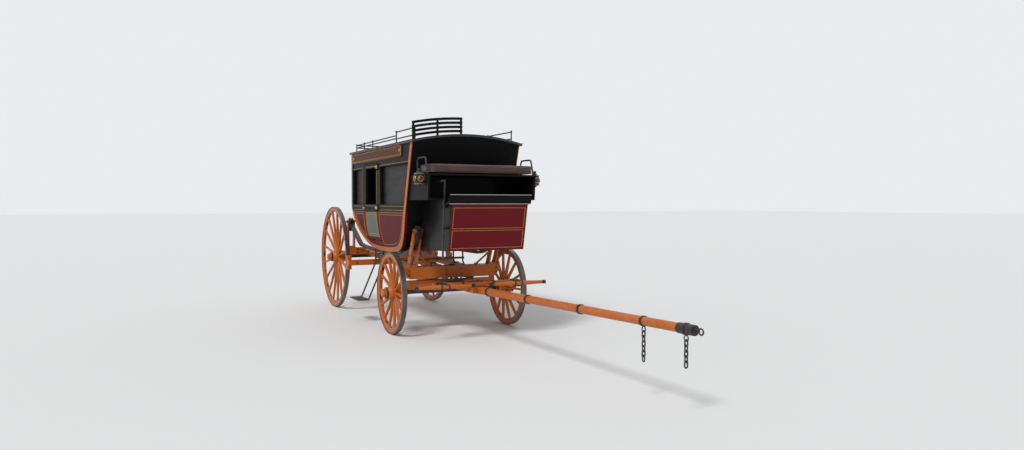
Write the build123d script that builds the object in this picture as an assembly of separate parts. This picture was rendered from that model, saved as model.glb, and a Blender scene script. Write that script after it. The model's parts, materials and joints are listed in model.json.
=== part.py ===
"""A full-size stagecoach: a rounded cabin slung on two leather braces between a front and a rear axle, with a
driver's seat and a front boot ahead of it, four spoked wooden wheels with iron tyres, and a long pole for a pair."""

from build123d import *
import math
import os

# Sizes in millimetres. X runs forward from the front axle, Y to the left and Z up from the ground.

# Running gear
wheelbase = 2780
track = 1590  # between the middles of the tyres
perch_spacing = 330
perch_width = 60
perch_depth = 75
brace_y = 540
brace_width = 60
brace_depth = 34
standard_gap = 70  # between a standard's two prongs
standard_thick = 20
standard_base = 96
standard_top = 54
standard_roller_r = 22
front_standard_foot_x = 40
front_standard_top_x = 255
front_standard_top_z = 1292
rear_standard_top_z = 1345

# Clearances
seat_gap = 0.3  # between pieces that are fastened to each other
bore_gap = 0.08  # round a shaft that turns in a bore
hub_end_gap = 4
ring_gap = 0.5  # between the two rings that carry the steering
door_gap = 9

# Wheels: diameter, number of spokes, dish, radius of the nave and radius of the axle arm
rear_wheel = {"diameter": 1550, "spokes": 16, "dish": 46, "nave_r": 98, "arm_r": 32}
front_wheel = {"diameter": 1005, "spokes": 14, "dish": 38, "nave_r": 90, "arm_r": 29}
tyre_thick = 14
tyre_width = 60
felloe_depth = 58
felloe_width = 50
felloe_bevel = 9
spoke_foot = (46, 30)  # across the wheel's plane and along the rim, at the nave
spoke_tip = (30, 25)
nave_inner = 140  # from the middle of the spokes to the nave's inner end
nave_outer = 118
nave_band_r = 74
nave_band = 26
nave_nose = 6  # the outer end is this much slimmer
nave_shoulder = 4
nave_swell = 4
nave_flat = 72
hub_cap_r = 48
hub_cap_length = 44
hub_cap_dome = 13

# Axles
axle_bar = 50
axle_collar_r = 52
axle_collar = 14
bed_thick = 92
rear_bed_depth = 110
front_bed_depth = 112
bed_end = 205  # the bed stops this far inside the tyre's middle

# Steering
ring_r = 285
ring_width = 46
ring_thick = 12
kingpin_r = 17
kingpin_head_r = 34
kingpin_head = 16
transom_depth = 150
transom_thick = 170
transom_half = 640

# Draught gear
hound_width = 48
hound_depth = 64
hound_rear_x = -420
hound_front_x = 900
hound_rear_y = 230
pole_square = 92
pole_rear_x = 70
pole_taper_x = 980
pole_tip_x = 4580
pole_tip_z = 672
pole_tip_r = 36
pole_cap_length = 170
pole_cap_wall = 5
pole_hook_length = 100
sway_bar = 46
evener_x = 800
evener_half = 560
evener_depth = 60
evener_thick = 78
singletree_y = 470
singletree_half = 370
singletree_r = 29
singletree_pin_r = 10
singletree_jaw = 8
singletree_x = 140  # ahead of the evener's middle

# Cabin outline, seen from the side
cabin_rear_x = -2110
cabin_front_x = 530
roof_edge_z = 2350
rear_knee_z = 1550
front_knee_x = 252
front_knee_z = 1450
belly_rear_x = -1350
belly_front_x = -340
belly_z = 985
belly_sag = 22
rear_curve_x = -1800
rear_curve_z = 1200

# Cabin section, seen from the front
cabin_half = 700
belly_half = 604
roof_crown = 82
roof_thick = 26
roof_overhang = 26
roof_end_overhang = 42
wall = 30
belt_z = 1500

# Door and windows
door_rear_x = -1460
door_width = 620
door_bottom_z = 1100
door_swing_gap = 12  # at the edge that swings away
door_top_z = 2148
window_sill_z = 1590
window_top_z = 2078
window_margin = 92
quarter_post = 118
door_stile = 78
hinge_proud = 14
hinge_half = 45
knuckle_half = 25
knuckle_r = 8
hinge_pin_r = 4.5
hinge_leaf = 60
hinge_strap = 110
name_board_depth = 150
name_board_thick = 12
name_board_front_x = 140
curtain_thick = 8
curtain_lap = 20

# Rear boot, a leather-covered frame behind the cabin
rear_boot_half = 465
rear_boot_length = 470
rear_boot_top_z = 1640
rear_boot_edge_z = 1395
rear_boot_bottom_z = 1110
rear_boot_taper = 55  # the rear end is this much narrower on each side

# Roof rails
rail_y = 640
rail_r = 8
rail_posts = (-2066, -1669, -1259, -248)
rail_front_x = 432
rail_low = 55
rail_high = 92
rail_front_low = 50
rail_front_high = 135
rail_knob_r = 12

# Lamps on the ends of the seat box
lamp_x = 850
lamp_drop = 60  # below the seat's top
lamp_half = 42
lamp_height = 118
lamp_corner = 13
lamp_off = 20
lamp_bezel_r = 33
lamp_bezel = 8

# Brake
brake_ahead = 105  # of the rear wheels' rims
brake_bar = 60
brake_bar_depth = 80
brake_bar_over = 30  # past the tyre's middle
shoe_gap = 8
shoe_length = 92
shoe_rise = 60
shoe_drop = 60
lever_foot_x = 1000
lever_top_x = 1060
lever_foot_z = 960
lever_top_z = 1860
lever_width = 30
lever_thick = 14
lever_pivot_z = 1330
lever_rod_y = -262
lever_rod_r = 9

# Steps under the doors
step_z = 300
step_half = 200
step_outer_y = 950
step_inner_y = 790
step_thick = 14
step_hanger_y = 588
step_hanger_r = 11
step_hanger_bend = 30

# Stays that hold the standards upright
stay_r = 12
stay_spread = 155  # inward of the standard, at its foot
front_stay_z = 985
rear_stay_z = 1240

# Chains on the pole
chain_wire = 11
chain_length = 62
chain_width = 38
eye_r = 22
eye_wire_r = 5
collar_thick = 6
collar_width = 26
hook_r = 23
hook_wire_r = 7

# Inside
bench_top_z = 1370
bench_board = 22
bench_cushion = 85
benches = (  # name, from X, to X
    ("rear", -2080, -1640),
    ("middle", -830, -520),
    ("front", -230, 215),
)

# Amber corner posts and sills
post_width = 62
post_proud = 9

# Front boot and driver's seat
boot_half = 478
boot_wall = 22
boot_bottom_z = 1062
boot_bottom_x = 1052
boot_belly_drop = 32  # its rear lower corner is this much lower
boot_top_x = 1168
boot_top_z = 1600
boot_throat_x = 930  # the footboard starts here, between the driver's seat and the boot's lip
footboard_half = 515
footboard_rear_drop = 55
footboard_thick = 24
footboard_lip = 92
footboard_lip_lean = 34
seat_half = 684
seat_back_x = 592
seat_front_x = 985
seat_base_z = 1640
seat_top_z = 1940
seat_wall = 22
seat_cushion_height = 110
seat_round = 40
seat_arm_r = 10
seat_arm_rise = 185
seat_arm_x = (618, 935)
backrest_x = 470
backrest_outer_y = 690
backrest_inner_y = 50
backrest_slats = (30, 80, 130, 180)  # lower edges above the roof
slat_depth = 30
backrest_thick = 22
backrest_posts = (-675, -370, -65)
backrest_post_r = 14


def section_half(z):
    """Half the cabin's outer width at a height: straight above the belt, and drawn in below it along an arc."""
    drop = belt_z - belly_z
    radius = ((cabin_half - belly_half) ** 2 + drop**2) / (2 * (cabin_half - belly_half))
    if z >= belt_z:
        return cabin_half
    return cabin_half - radius + math.sqrt(radius**2 - (belt_z - z) ** 2)


def front_x(z):
    """The cabin's front face above its knee."""
    rise = (z - front_knee_z) / (roof_edge_z - front_knee_z)
    return front_knee_x + rise * (cabin_front_x - front_knee_x)


def arc_about(centre, radius, start, end):
    """The shorter arc of this circle between two of its points."""
    side = (start - centre) + (end - centre)
    return ThreePointArc(start, centre + side.normalized() * radius, end)


def meeting(centre_a, radius_a, centre_b, radius_b, near):
    """Where two circles cross, at the crossing nearest to a point."""
    line = centre_b - centre_a
    along = (line.length**2 + radius_a**2 - radius_b**2) / (2 * line.length)
    across = math.sqrt(radius_a**2 - along**2)
    unit = line.normalized()
    foot = centre_a + unit * along
    normal = Vector(-unit.Y, unit.X) * across
    return min(foot + normal, foot - normal, key=lambda point: (point - near).length)


def circle_through(a, b, c):
    """The middle and the radius of the circle through three points."""
    arc = ThreePointArc(a, b, c)
    return arc.arc_center, arc.radius


def outline(grow):
    """The cabin seen from the side, as a face in the XZ plane grown by this much."""
    rear_knee = Vector(cabin_rear_x, rear_knee_z)
    belly_rear = Vector(belly_rear_x, belly_z)
    belly_front = Vector(belly_front_x, belly_z)
    belly_middle = Vector((belly_rear_x + belly_front_x) / 2, belly_z - belly_sag)
    front_knee = Vector(front_knee_x, front_knee_z)
    rear_c, rear_r = circle_through(rear_knee, Vector(rear_curve_x, rear_curve_z), belly_rear)
    belly_c, belly_r = circle_through(belly_rear, belly_middle, belly_front)
    lean = Vector(cabin_front_x - front_knee_x, roof_edge_z - front_knee_z).normalized()
    inward = Vector(-lean.Y, lean.X)
    drop = belly_front - front_knee
    front_r = drop.length**2 / (2 * drop.dot(inward))
    front_c = front_knee + inward * front_r
    rear_r += grow
    belly_r += grow
    front_r += grow
    rear_x = cabin_rear_x - grow
    high = roof_edge_z + 2 * roof_crown
    knee = Vector(rear_x, rear_c.Y - math.sqrt(rear_r**2 - (rear_x - rear_c.X) ** 2))
    rear_foot = meeting(rear_c, rear_r, belly_c, belly_r, belly_rear)
    front_foot = meeting(front_c, front_r, belly_c, belly_r, belly_front)
    front_edge = front_knee - inward * grow
    top = front_edge + lean * ((high - front_edge.Y) / lean.Y)
    edges = [
        Line((rear_x, high), knee),
        arc_about(rear_c, rear_r, knee, rear_foot),
        arc_about(belly_c, belly_r, rear_foot, front_foot),
        arc_about(front_c, front_r, front_foot, front_edge),
        Line(front_edge, top),
        Line(top, (rear_x, high)),
    ]
    return Plane.XZ * make_face(Curve() + edges)


def outline_prism(grow):
    return extrude(outline(grow), amount=2 * cabin_half, both=True)


def crown_circle():
    """The radius and the middle of the circle that the roof's lower face follows."""
    radius = (cabin_half**2 + roof_crown**2) / (2 * roof_crown)
    return radius, roof_edge_z - roof_thick + roof_crown - radius


def section(grow, top_drop):
    """The cabin seen from the front, as a face in the YZ plane grown by this much, under the roof."""
    low = belly_z - belly_sag - wall - 60
    half = cabin_half + grow
    drop = belt_z - belly_z
    radius = ((cabin_half - belly_half) ** 2 + drop**2) / (2 * (cabin_half - belly_half)) + grow
    low_half = half - radius + math.sqrt(radius**2 - (belt_z - low) ** 2)
    middle = (belt_z + low) / 2
    middle_half = half - radius + math.sqrt(radius**2 - (belt_z - middle) ** 2)
    high = roof_edge_z + 2 * roof_crown
    edges = [
        Line((half, high), (half, belt_z)),
        ThreePointArc((half, belt_z), (middle_half, middle), (low_half, low)),
        Line((low_half, low), (-low_half, low)),
        ThreePointArc((-low_half, low), (-middle_half, middle), (-half, belt_z)),
        Line((-half, belt_z), (-half, high)),
        Line((-half, high), (half, high)),
    ]
    crown_r, crown_z = crown_circle()
    face = make_face(Curve() + edges) & Pos(0, crown_z) * Circle(crown_r - top_drop)
    return Plane.YZ * face


def section_prism(grow, top_drop=seat_gap):
    length = wheelbase + 2 * cabin_front_x
    return extrude(section(grow, top_drop), amount=length, both=True)


def slab(x0, x1, y0, y1, z0, z1):
    return Pos((x0 + x1) / 2, (y0 + y1) / 2, (z0 + z1) / 2) * Box(x1 - x0, y1 - y0, z1 - z0)


def rod(start, end, radius, end_radius=None):
    """A round bar between two points, tapered if it has a second radius."""
    a = Vector(*start)
    b = Vector(*end)
    place = Plane(origin=a, z_dir=b - a)
    tip = radius if end_radius is None else end_radius
    if tip == radius:
        return place * Cylinder(radius, (b - a).length, align=(Align.CENTER, Align.CENTER, Align.MIN))
    return place * Cone(radius, tip, (b - a).length, align=(Align.CENTER, Align.CENTER, Align.MIN))


def side_plate(points, y0, y1):
    """A plate cut to an outline of XZ points, from one Y to the other."""
    face = Plane.XZ.offset(-y0) * make_face(Polyline(*points, close=True))
    return extrude(face, amount=-(y1 - y0))


def bent_rod(points, radius, bend):
    """A round bar along straight runs with a bend at each corner."""
    path = FilletPolyline(*points, radius=bend)
    start = Plane(origin=path @ 0, z_dir=path % 0)
    return sweep(start * Circle(radius), path=path)


def mirrored(shape):
    return mirror(shape, about=Plane.XZ)


def both_sides(shape):
    return [shape, mirrored(shape)]


# Places that several pieces share

origin_x = (pole_tip_x + pole_hook_length - wheelbase - rear_wheel["diameter"] / 2) / 2
rear_hub_z = rear_wheel["diameter"] / 2
front_hub_z = front_wheel["diameter"] / 2
rear_bed_z = rear_hub_z + axle_bar / 2
front_bed_z = front_hub_z + axle_bar / 2
lower_ring_z = front_bed_z + front_bed_depth
upper_ring_z = lower_ring_z + ring_thick + ring_gap
transom_z = upper_ring_z + ring_thick
transom_top_z = transom_z + transom_depth
rear_bed_top_z = rear_bed_z + rear_bed_depth
door_front_x = door_rear_x + door_width
hinge_x = door_front_x - door_gap / 2
hinge_y = cabin_half + hinge_proud
hinge_heights = (belt_z + 45, door_top_z - 60)
pole_z = front_bed_z + front_bed_depth / 2


# Wheels

def swell(start, end):
    """The middle of a slightly bulging curve between two points of a nave."""
    return ((start[0] + end[0]) / 2 + nave_swell, (start[1] + end[1]) / 2)


def make_wheel(sizes):
    """One left wheel about the Y axis: the tyre's middle is at Y 0, and the dish leans outward to +Y."""
    radius = sizes["diameter"] / 2
    felloe_r = radius - tyre_thick
    inner_r = felloe_r - felloe_depth
    spoke_y = -sizes["dish"]
    turn = (90, 0, 0)
    tyre = Cylinder(radius, tyre_width, rotation=turn) - Cylinder(felloe_r + seat_gap, tyre_width, rotation=turn)
    rim = [
        (inner_r, -felloe_width / 2 + felloe_bevel),
        (inner_r + felloe_bevel, -felloe_width / 2),
        (felloe_r, -felloe_width / 2),
        (felloe_r, felloe_width / 2),
        (inner_r + felloe_bevel, felloe_width / 2),
        (inner_r, felloe_width / 2 - felloe_bevel),
    ]
    felloe = revolve(make_face(Polyline(*rim, close=True)), axis=Axis.Y)
    foot = Vector(0, spoke_y, sizes["nave_r"] - 12)
    tip = Vector(0, 0, inner_r + felloe_depth / 2)
    lean = tip - foot
    foot_plane = Plane(origin=foot, x_dir=(1, 0, 0), z_dir=lean)
    tip_plane = Plane(origin=tip, x_dir=(1, 0, 0), z_dir=lean)
    spoke = loft(
        [
            foot_plane * RectangleRounded(spoke_foot[1], spoke_foot[0], 9),
            tip_plane * RectangleRounded(spoke_tip[1], spoke_tip[0], 9),
        ]
    )
    spoke -= Cylinder(sizes["nave_r"] + seat_gap, nave_flat, rotation=turn).moved(Location((0, spoke_y, 0)))
    count = sizes["spokes"]
    spokes = [Rot(0, 360 / count * (i + 0.5), 0) * spoke for i in range(count)]
    woodwork = felloe + spokes
    inner_end = spoke_y - nave_inner
    outer_end = spoke_y + nave_outer
    bore_r = sizes["arm_r"] + bore_gap
    nave_r = sizes["nave_r"]
    cap_end = outer_end + hub_cap_length
    nose_r = nave_band_r - nave_nose
    inner_band = (nave_band_r, inner_end + nave_band)
    outer_band = (nose_r, outer_end - nave_band)
    inner_seat = (nave_r, spoke_y - nave_flat / 2 - nave_shoulder)
    outer_seat = (nave_r, spoke_y + nave_flat / 2 + nave_shoulder)
    edges = [
        Line((bore_r, inner_end), (nave_band_r, inner_end)),
        Line((nave_band_r, inner_end), inner_band),
        ThreePointArc(inner_band, swell(inner_band, inner_seat), inner_seat),
        Line(inner_seat, outer_seat),
        ThreePointArc(outer_seat, swell(outer_seat, outer_band), outer_band),
        Line(outer_band, (nose_r, outer_end)),
        Line((nose_r, outer_end), (hub_cap_r, outer_end)),
        Line((hub_cap_r, outer_end), (hub_cap_r, cap_end - hub_cap_dome)),
        ThreePointArc(
            (hub_cap_r, cap_end - hub_cap_dome),
            (hub_cap_r - hub_cap_dome * 0.3, cap_end - hub_cap_dome * 0.3),
            (hub_cap_r - hub_cap_dome, cap_end),
        ),
        Line((hub_cap_r - hub_cap_dome, cap_end), (0, cap_end)),
        Line((0, cap_end), (0, outer_end)),
        Line((0, outer_end), (bore_r, outer_end)),
        Line((bore_r, outer_end), (bore_r, inner_end)),
    ]
    hub = revolve(make_face(Curve() + edges), axis=Axis.Y)
    return {"tyre": tyre, "rim": woodwork, "hub": hub}


def axle(sizes, hub_z, x):
    """An iron axle: a square bar between two collars and a round arm in each hub."""
    spoke_y = track / 2 - sizes["dish"]
    collar_end = spoke_y - nave_inner - hub_end_gap
    arm_end = spoke_y + nave_outer - hub_end_gap
    bar = slab(-axle_bar / 2, axle_bar / 2, -collar_end + axle_collar, collar_end - axle_collar, -axle_bar / 2, axle_bar / 2)
    pieces = [rod((0, side * (collar_end - axle_collar), 0), (0, side * collar_end, 0), axle_collar_r) for side in (1, -1)]
    pieces += [rod((0, side * (collar_end - axle_collar), 0), (0, side * arm_end, 0), sizes["arm_r"]) for side in (1, -1)]
    return Pos(x, 0, hub_z) * (bar + pieces)


parts = {}


def keep(name, *shapes):
    """Stores a node as one or more solids, moved so that the origin is under the middle of the coach."""
    solids = []
    for shape in shapes:
        solids += list(shape.solids())
    parts[name] = Pos(-origin_x, 0, 0) * Compound(children=solids)


wheels = (("rear", rear_wheel, -wheelbase, rear_hub_z), ("front", front_wheel, 0, front_hub_z))
for end, sizes, x, hub_z in wheels:
    made = make_wheel(sizes)
    for piece, shape in made.items():
        left = Pos(x, track / 2, hub_z) * shape
        keep(f"{end}_left_wheel_{piece}", left)
        keep(f"{end}_right_wheel_{piece}", mirrored(left))

# Rear axle

keep("rear_axle", axle(rear_wheel, rear_hub_z, -wheelbase))
bed_half = track / 2 - bed_end
rear_bed = slab(-bed_thick / 2, bed_thick / 2, -bed_half, bed_half, 0, rear_bed_depth)
rear_bed = chamfer(rear_bed.edges().filter_by(Axis.Y).group_by(Axis.Z)[-1], 10)
rear_bed = Pos(-wheelbase, 0, rear_bed_z + seat_gap) * rear_bed
keep("rear_axle_bed", rear_bed)

# Perches

perch_rear_z = rear_bed_z + rear_bed_depth / 2
perch_front_z = transom_z + transom_depth / 2
perch_rear_x = -wheelbase + bed_thick / 2 + seat_gap
perch_front_x = -transom_thick / 2 - seat_gap
perch_outline = [
    (perch_rear_x, perch_rear_z - perch_depth / 2),
    (perch_front_x, perch_front_z - perch_depth / 2),
    (perch_front_x, perch_front_z + perch_depth / 2),
    (perch_rear_x, perch_rear_z + perch_depth / 2),
]
perches = [
    side_plate(perch_outline, y - perch_width / 2, y + perch_width / 2)
    for y in (-perch_spacing, 0, perch_spacing)
]
keep("perches", *perches)

# Front transom, kingpin and rings

transom = slab(-transom_thick / 2, transom_thick / 2, -transom_half, transom_half, transom_z, transom_top_z)
transom_bevel = transom_depth * 0.45
transom = chamfer(
    transom.edges().filter_by(Axis.X).group_by(Axis.Z)[0],
    transom_bevel,
    transom_bevel,
)
kingpin_hole = rod((0, 0, front_bed_z - 5), (0, 0, transom_top_z + 5), kingpin_r + seat_gap)
transom -= kingpin_hole
keep("front_transom", transom)
kingpin_bottom = front_bed_z + 8
kingpin = rod((0, 0, kingpin_bottom), (0, 0, transom_top_z + seat_gap), kingpin_r)
kingpin += rod((0, 0, transom_top_z + seat_gap), (0, 0, transom_top_z + seat_gap + kingpin_head), kingpin_head_r)


def ring(z):
    disc = Cylinder(ring_r, ring_thick) - Cylinder(ring_r - ring_width, ring_thick)
    return Pos(0, 0, z + ring_thick / 2) * disc


keep("kingpin", kingpin, ring(upper_ring_z))
keep("lower_ring", ring(lower_ring_z))

# Front axle, bed and hounds

keep("front_axle", axle(front_wheel, front_hub_z, 0))


def hound(side, grow):
    """One of the two bars that run from behind the axle forward to grip the pole."""
    front_y = pole_square / 2 + hound_width / 2 + seat_gap
    start = (hound_rear_x, side * hound_rear_y)
    knee = (pole_rear_x + 180, side * front_y)
    end = (hound_front_x, side * front_y)
    width = hound_width + 2 * grow
    pieces = []
    for a, b in ((start, knee), (knee, end)):
        length = math.dist(a, b)
        angle = math.degrees(math.atan2(b[1] - a[1], b[0] - a[0]))
        middle = ((a[0] + b[0]) / 2, (a[1] + b[1]) / 2)
        pieces.append(Pos(*middle, pole_z) * Rot(0, 0, angle) * Box(length, width, hound_depth + 2 * grow))
    joint = Pos(*knee, pole_z) * Cylinder(width / 2, hound_depth + 2 * grow)
    return pieces[0] + pieces[1] + joint


hounds = hound(1, 0) + hound(-1, 0)
front_bed = slab(-bed_thick / 2, bed_thick / 2, -bed_half, bed_half, front_bed_z + seat_gap, lower_ring_z - seat_gap)
front_bed -= rod((0, 0, front_bed_z - 5), (0, 0, lower_ring_z + 5), kingpin_r + bore_gap)
front_bed -= [hound(1, seat_gap), hound(-1, seat_gap)]
keep("front_axle_bed", front_bed)
sway_z = pole_z + hound_depth / 2 + seat_gap
sway = slab(hound_rear_x + 10, hound_rear_x + 10 + sway_bar, -hound_rear_y - 90, hound_rear_y + 90, sway_z, sway_z + 34)
keep("hounds", hounds, sway)

# Pole

pole_straight = Pos((pole_rear_x + pole_taper_x) / 2, 0, pole_z) * Box(
    pole_taper_x - pole_rear_x, pole_square, pole_square * 0.8
)
pole_round = rod((pole_taper_x - 60, 0, pole_z), (pole_tip_x, 0, pole_tip_z), pole_square * 0.47, pole_tip_r)
pole = pole_straight + pole_round
keep("pole", pole)


pole_angle = math.atan2(pole_tip_z - pole_z, pole_tip_x - (pole_taper_x - 60))


def along_pole(distance, up=0):
    """A point on the pole's middle line, this far behind its tip."""
    x = pole_tip_x - distance * math.cos(pole_angle) - up * math.sin(pole_angle)
    z = pole_tip_z - distance * math.sin(pole_angle) + up * math.cos(pole_angle)
    return (x, 0, z)




def wire_ring(radius, wire_r):
    """A ring of six-sided wire that stands in the XZ plane."""
    return Rot(90, 0, 0) * revolve(Plane.XZ * (Pos(radius, 0) * RegularPolygon(wire_r, 6)), axis=Axis.Z)


def chain_link():
    """One oblong link of square wire with its corners taken off, standing in the XZ plane."""
    cut = chain_width * 0.3
    outer = chamfer(Rectangle(chain_width, chain_length).vertices(), cut)
    inner_width = chain_width - 2 * chain_wire
    inner = chamfer(Rectangle(inner_width, chain_length - 2 * chain_wire).vertices(), inner_width * 0.3)
    link = extrude(outer - inner, amount=chain_wire / 2, both=True)
    rims = link.edges().filter_by(Plane.XY)
    return Rot(90, 0, 0) * chamfer(rims, chain_wire * 0.26)


cap_r = pole_tip_r + seat_gap
iron = rod(along_pole(pole_cap_length), along_pole(-pole_cap_wall), cap_r + pole_cap_wall)
iron -= rod(along_pole(pole_cap_length + 1), along_pole(-seat_gap), cap_r + 1.2, cap_r)
hook_x = pole_tip_x + pole_hook_length - hook_r - hook_wire_r
iron += rod(along_pole(-pole_cap_wall + 1), (hook_x - hook_r + 3, 0, pole_tip_z), 10)
iron += Pos(hook_x, 0, pole_tip_z) * wire_ring(hook_r, hook_wire_r)

# Chains that hang from collars on the pole

chain_pitch = chain_length - 2 * chain_wire - seat_gap
chains = []
collars = []
for distance, links, grip_r in ((90, 5, cap_r + pole_cap_wall), (600, 6, pole_tip_r + 2)):
    x, y, z = along_pole(distance)
    collar = rod(along_pole(distance + collar_width / 2), along_pole(distance - collar_width / 2), grip_r + collar_thick)
    hole_r = grip_r - 2 if distance < pole_cap_length else grip_r
    collar -= rod(along_pole(distance + collar_width), along_pole(distance - collar_width), hole_r)
    eye_z = z - grip_r - collar_thick - eye_r
    collar += Pos(x, 0, eye_z) * wire_ring(eye_r, eye_wire_r)
    collars.append(collar)
    top = eye_z - eye_r - chain_length / 2 + eye_wire_r + chain_wire + seat_gap
    for i in range(links):
        link = Rot(0, 0, 90 * ((i + 1) % 2)) * chain_link()
        chains.append(Pos(x, 0, top - i * chain_pitch) * link)
iron += collars[0]
keep("pole_iron", iron, collars[1])
keep("pole_chains", *chains)

# Evener and singletrees

evener_z = pole_z + pole_square * 0.4 + seat_gap
evener = slab(
    evener_x - evener_thick / 2,
    evener_x + evener_thick / 2,
    -evener_half,
    evener_half,
    evener_z,
    evener_z + evener_depth,
)
evener = fillet(evener.edges().filter_by(Axis.Y), 14)
keep("evener", evener)
tree_x = evener_x + singletree_x
tree_z = evener_z + evener_depth / 2
jaws = []
for name, side in (("left", 1), ("right", -1)):
    y = side * singletree_y
    for z in (evener_z - seat_gap - singletree_jaw, evener_z + evener_depth + seat_gap):
        jaw = slab(evener_x - 30, tree_x, y - 30, y + 30, z, z + singletree_jaw)
        jaw += rod((tree_x, y, z), (tree_x, y, z + singletree_jaw), 30)
        jaws.append(jaw)
    jaws[-1] += [jaws.pop(-2), rod((tree_x, y, evener_z - singletree_jaw), (tree_x, y, evener_z + evener_depth), singletree_pin_r)]
    bar = rod((tree_x, y, tree_z), (tree_x, y + singletree_half, tree_z), singletree_r, singletree_r * 0.62)
    bar += rod((tree_x, y, tree_z), (tree_x, y - singletree_half, tree_z), singletree_r, singletree_r * 0.62)
    bar -= rod((tree_x, y, tree_z - 60), (tree_x, y, tree_z + 60), singletree_pin_r + bore_gap)
    keep(f"singletree_{name}", bar)
keep("evener_irons", *jaws)

# Standards that carry the leather braces


def standard(foot_x, top_x, base_z, top_z, stay_z):
    """Two prongs on a foot, with a roller between their tops and a stay to the bar below, at the left brace."""
    inner = brace_y - standard_gap / 2 - standard_thick
    outer = brace_y + standard_gap / 2
    outline_points = [
        (foot_x - standard_base / 2, base_z),
        (foot_x + standard_base / 2, base_z),
        (top_x + standard_top / 2, top_z),
        (top_x - standard_top / 2, top_z),
    ]
    plate = side_plate(outline_points, inner, inner + standard_thick)
    plate += side_plate(outline_points, outer, outer + standard_thick)
    plate += slab(foot_x - standard_base / 2, foot_x + standard_base / 2, inner, outer + standard_thick, base_z, base_z + 26)
    roller_z = top_z - standard_top / 2
    plate += rod((top_x, inner + 4, roller_z), (top_x, outer + standard_thick + 8, roller_z), standard_roller_r)
    share = (stay_z - base_z) / (top_z - base_z)
    stay_top = (foot_x + share * (top_x - foot_x), inner + 4, stay_z)
    stay = rod((foot_x, inner - stay_spread, base_z + stay_r), stay_top, stay_r)
    stay += rod((foot_x, inner - stay_spread, base_z), (foot_x, inner - stay_spread, base_z + 2 * stay_r), 2 * stay_r)
    return plate + (stay - slab(foot_x - 500, foot_x + 500, 0, brace_y, base_z - 100, base_z))


front_base_z = transom_top_z + seat_gap
rear_base_z = rear_bed_top_z + 2 * seat_gap
front_standard = standard(front_standard_foot_x, front_standard_top_x, front_base_z, front_standard_top_z, front_stay_z)
rear_standard = standard(-wheelbase, -wheelbase, rear_base_z, rear_standard_top_z, rear_stay_z)
keep("front_standards", *both_sides(front_standard))
keep("rear_standards", *both_sides(rear_standard))

# Leather braces

brace_belly_z = belly_z - belly_sag - seat_gap - brace_depth / 2 - 1
wrap_r = standard_roller_r + seat_gap + brace_depth / 2
front_roller_z = front_standard_top_z - standard_top / 2
rear_roller_z = rear_standard_top_z - standard_top / 2
rear_x = -wheelbase
front_top_x = front_standard_top_x
brace_points = [
    (rear_x - wrap_r, brace_y, rear_roller_z - 150),
    (rear_x - wrap_r, brace_y, rear_roller_z + wrap_r),
    (rear_x + wrap_r, brace_y, rear_roller_z + wrap_r),
    (rear_x + wrap_r + 10, brace_y, rear_roller_z - 60),
    (rear_x + 560, brace_y, rear_roller_z - 330),
    (belly_rear_x - 160, brace_y, brace_belly_z),
    (belly_front_x + 60, brace_y, brace_belly_z),
    (belly_front_x + 425, brace_y, brace_belly_z + 96),
    (front_top_x - wrap_r, brace_y, front_roller_z - 60),
    (front_top_x - wrap_r, brace_y, front_roller_z + wrap_r),
    (front_top_x + wrap_r, brace_y, front_roller_z + wrap_r),
    (front_top_x + wrap_r, brace_y, front_roller_z - 100),
]
brace_radii = [wrap_r - 1, wrap_r - 2, 50, 350, 900, 600, 300, 80, wrap_r - 1, wrap_r - 1]
brace_path = FilletPolyline(*brace_points, radius=brace_radii)
brace_start = Plane(origin=brace_path @ 0, x_dir=(0, 1, 0), z_dir=brace_path % 0)
brace = sweep(brace_start * Rectangle(brace_width, brace_depth), path=brace_path)
keep("thoroughbraces", *both_sides(brace))

# Cabin shell

cabin_shell = section_prism(0) - section_prism(-wall)
inside = section_prism(-wall - seat_gap)
ends = (outline_prism(0) - outline_prism(-wall)) & inside


door_cut = slab(door_rear_x, door_front_x, 0, cabin_half + 50, door_bottom_z, door_top_z)
front_window_x = front_x(window_top_z) - window_margin
front_window_sill_x = front_x(window_sill_z) - window_margin
rear_window = side_plate(
    [
        (cabin_rear_x + window_margin, window_sill_z),
        (door_rear_x - quarter_post, window_sill_z),
        (door_rear_x - quarter_post, window_top_z),
        (cabin_rear_x + window_margin, window_top_z),
    ],
    0,
    cabin_half + 50,
)
front_window = side_plate(
    [
        (door_front_x + quarter_post, window_sill_z),
        (front_window_sill_x, window_sill_z),
        (front_window_x, window_top_z),
        (door_front_x + quarter_post, window_top_z),
    ],
    0,
    cabin_half + 50,
)
left_half = slab(-wheelbase, cabin_front_x + 200, 0, cabin_half + 60, belly_z - 200, roof_edge_z + 200)
side = outline_prism(0) & (cabin_shell & left_half)
left_side = side - door_cut - rear_window - front_window
for z in hinge_heights:
    left_side += rod((hinge_x, hinge_y, z - hinge_half), (hinge_x, hinge_y, z + hinge_half), hinge_pin_r)
    for low, high in ((z - hinge_half, z - knuckle_half), (z + knuckle_half, z + hinge_half)):
        left_side += rod((hinge_x, hinge_y, low), (hinge_x, hinge_y, high), knuckle_r)
        left_side += slab(hinge_x, hinge_x + hinge_leaf, cabin_half - 1, hinge_y - knuckle_r + 1, low, high)
keep("cabin_side_left", left_side)
keep("cabin_side_right", mirrored(left_side))
rear_block = slab(-wheelbase, belly_rear_x - seat_gap / 2, -cabin_half, cabin_half, 0, roof_edge_z + 200)
floor_block = slab(belly_rear_x + seat_gap / 2, belly_front_x - seat_gap / 2, -cabin_half, cabin_half, 0, belly_z + 200)
front_block = slab(belly_front_x + seat_gap / 2, cabin_front_x + 200, -cabin_half, cabin_half, 0, roof_edge_z + 200)
keep("cabin_rear_wall", ends & rear_block)
keep("cabin_floor", ends & floor_block)
keep("cabin_front_wall", ends & front_block)

# Roof

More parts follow.
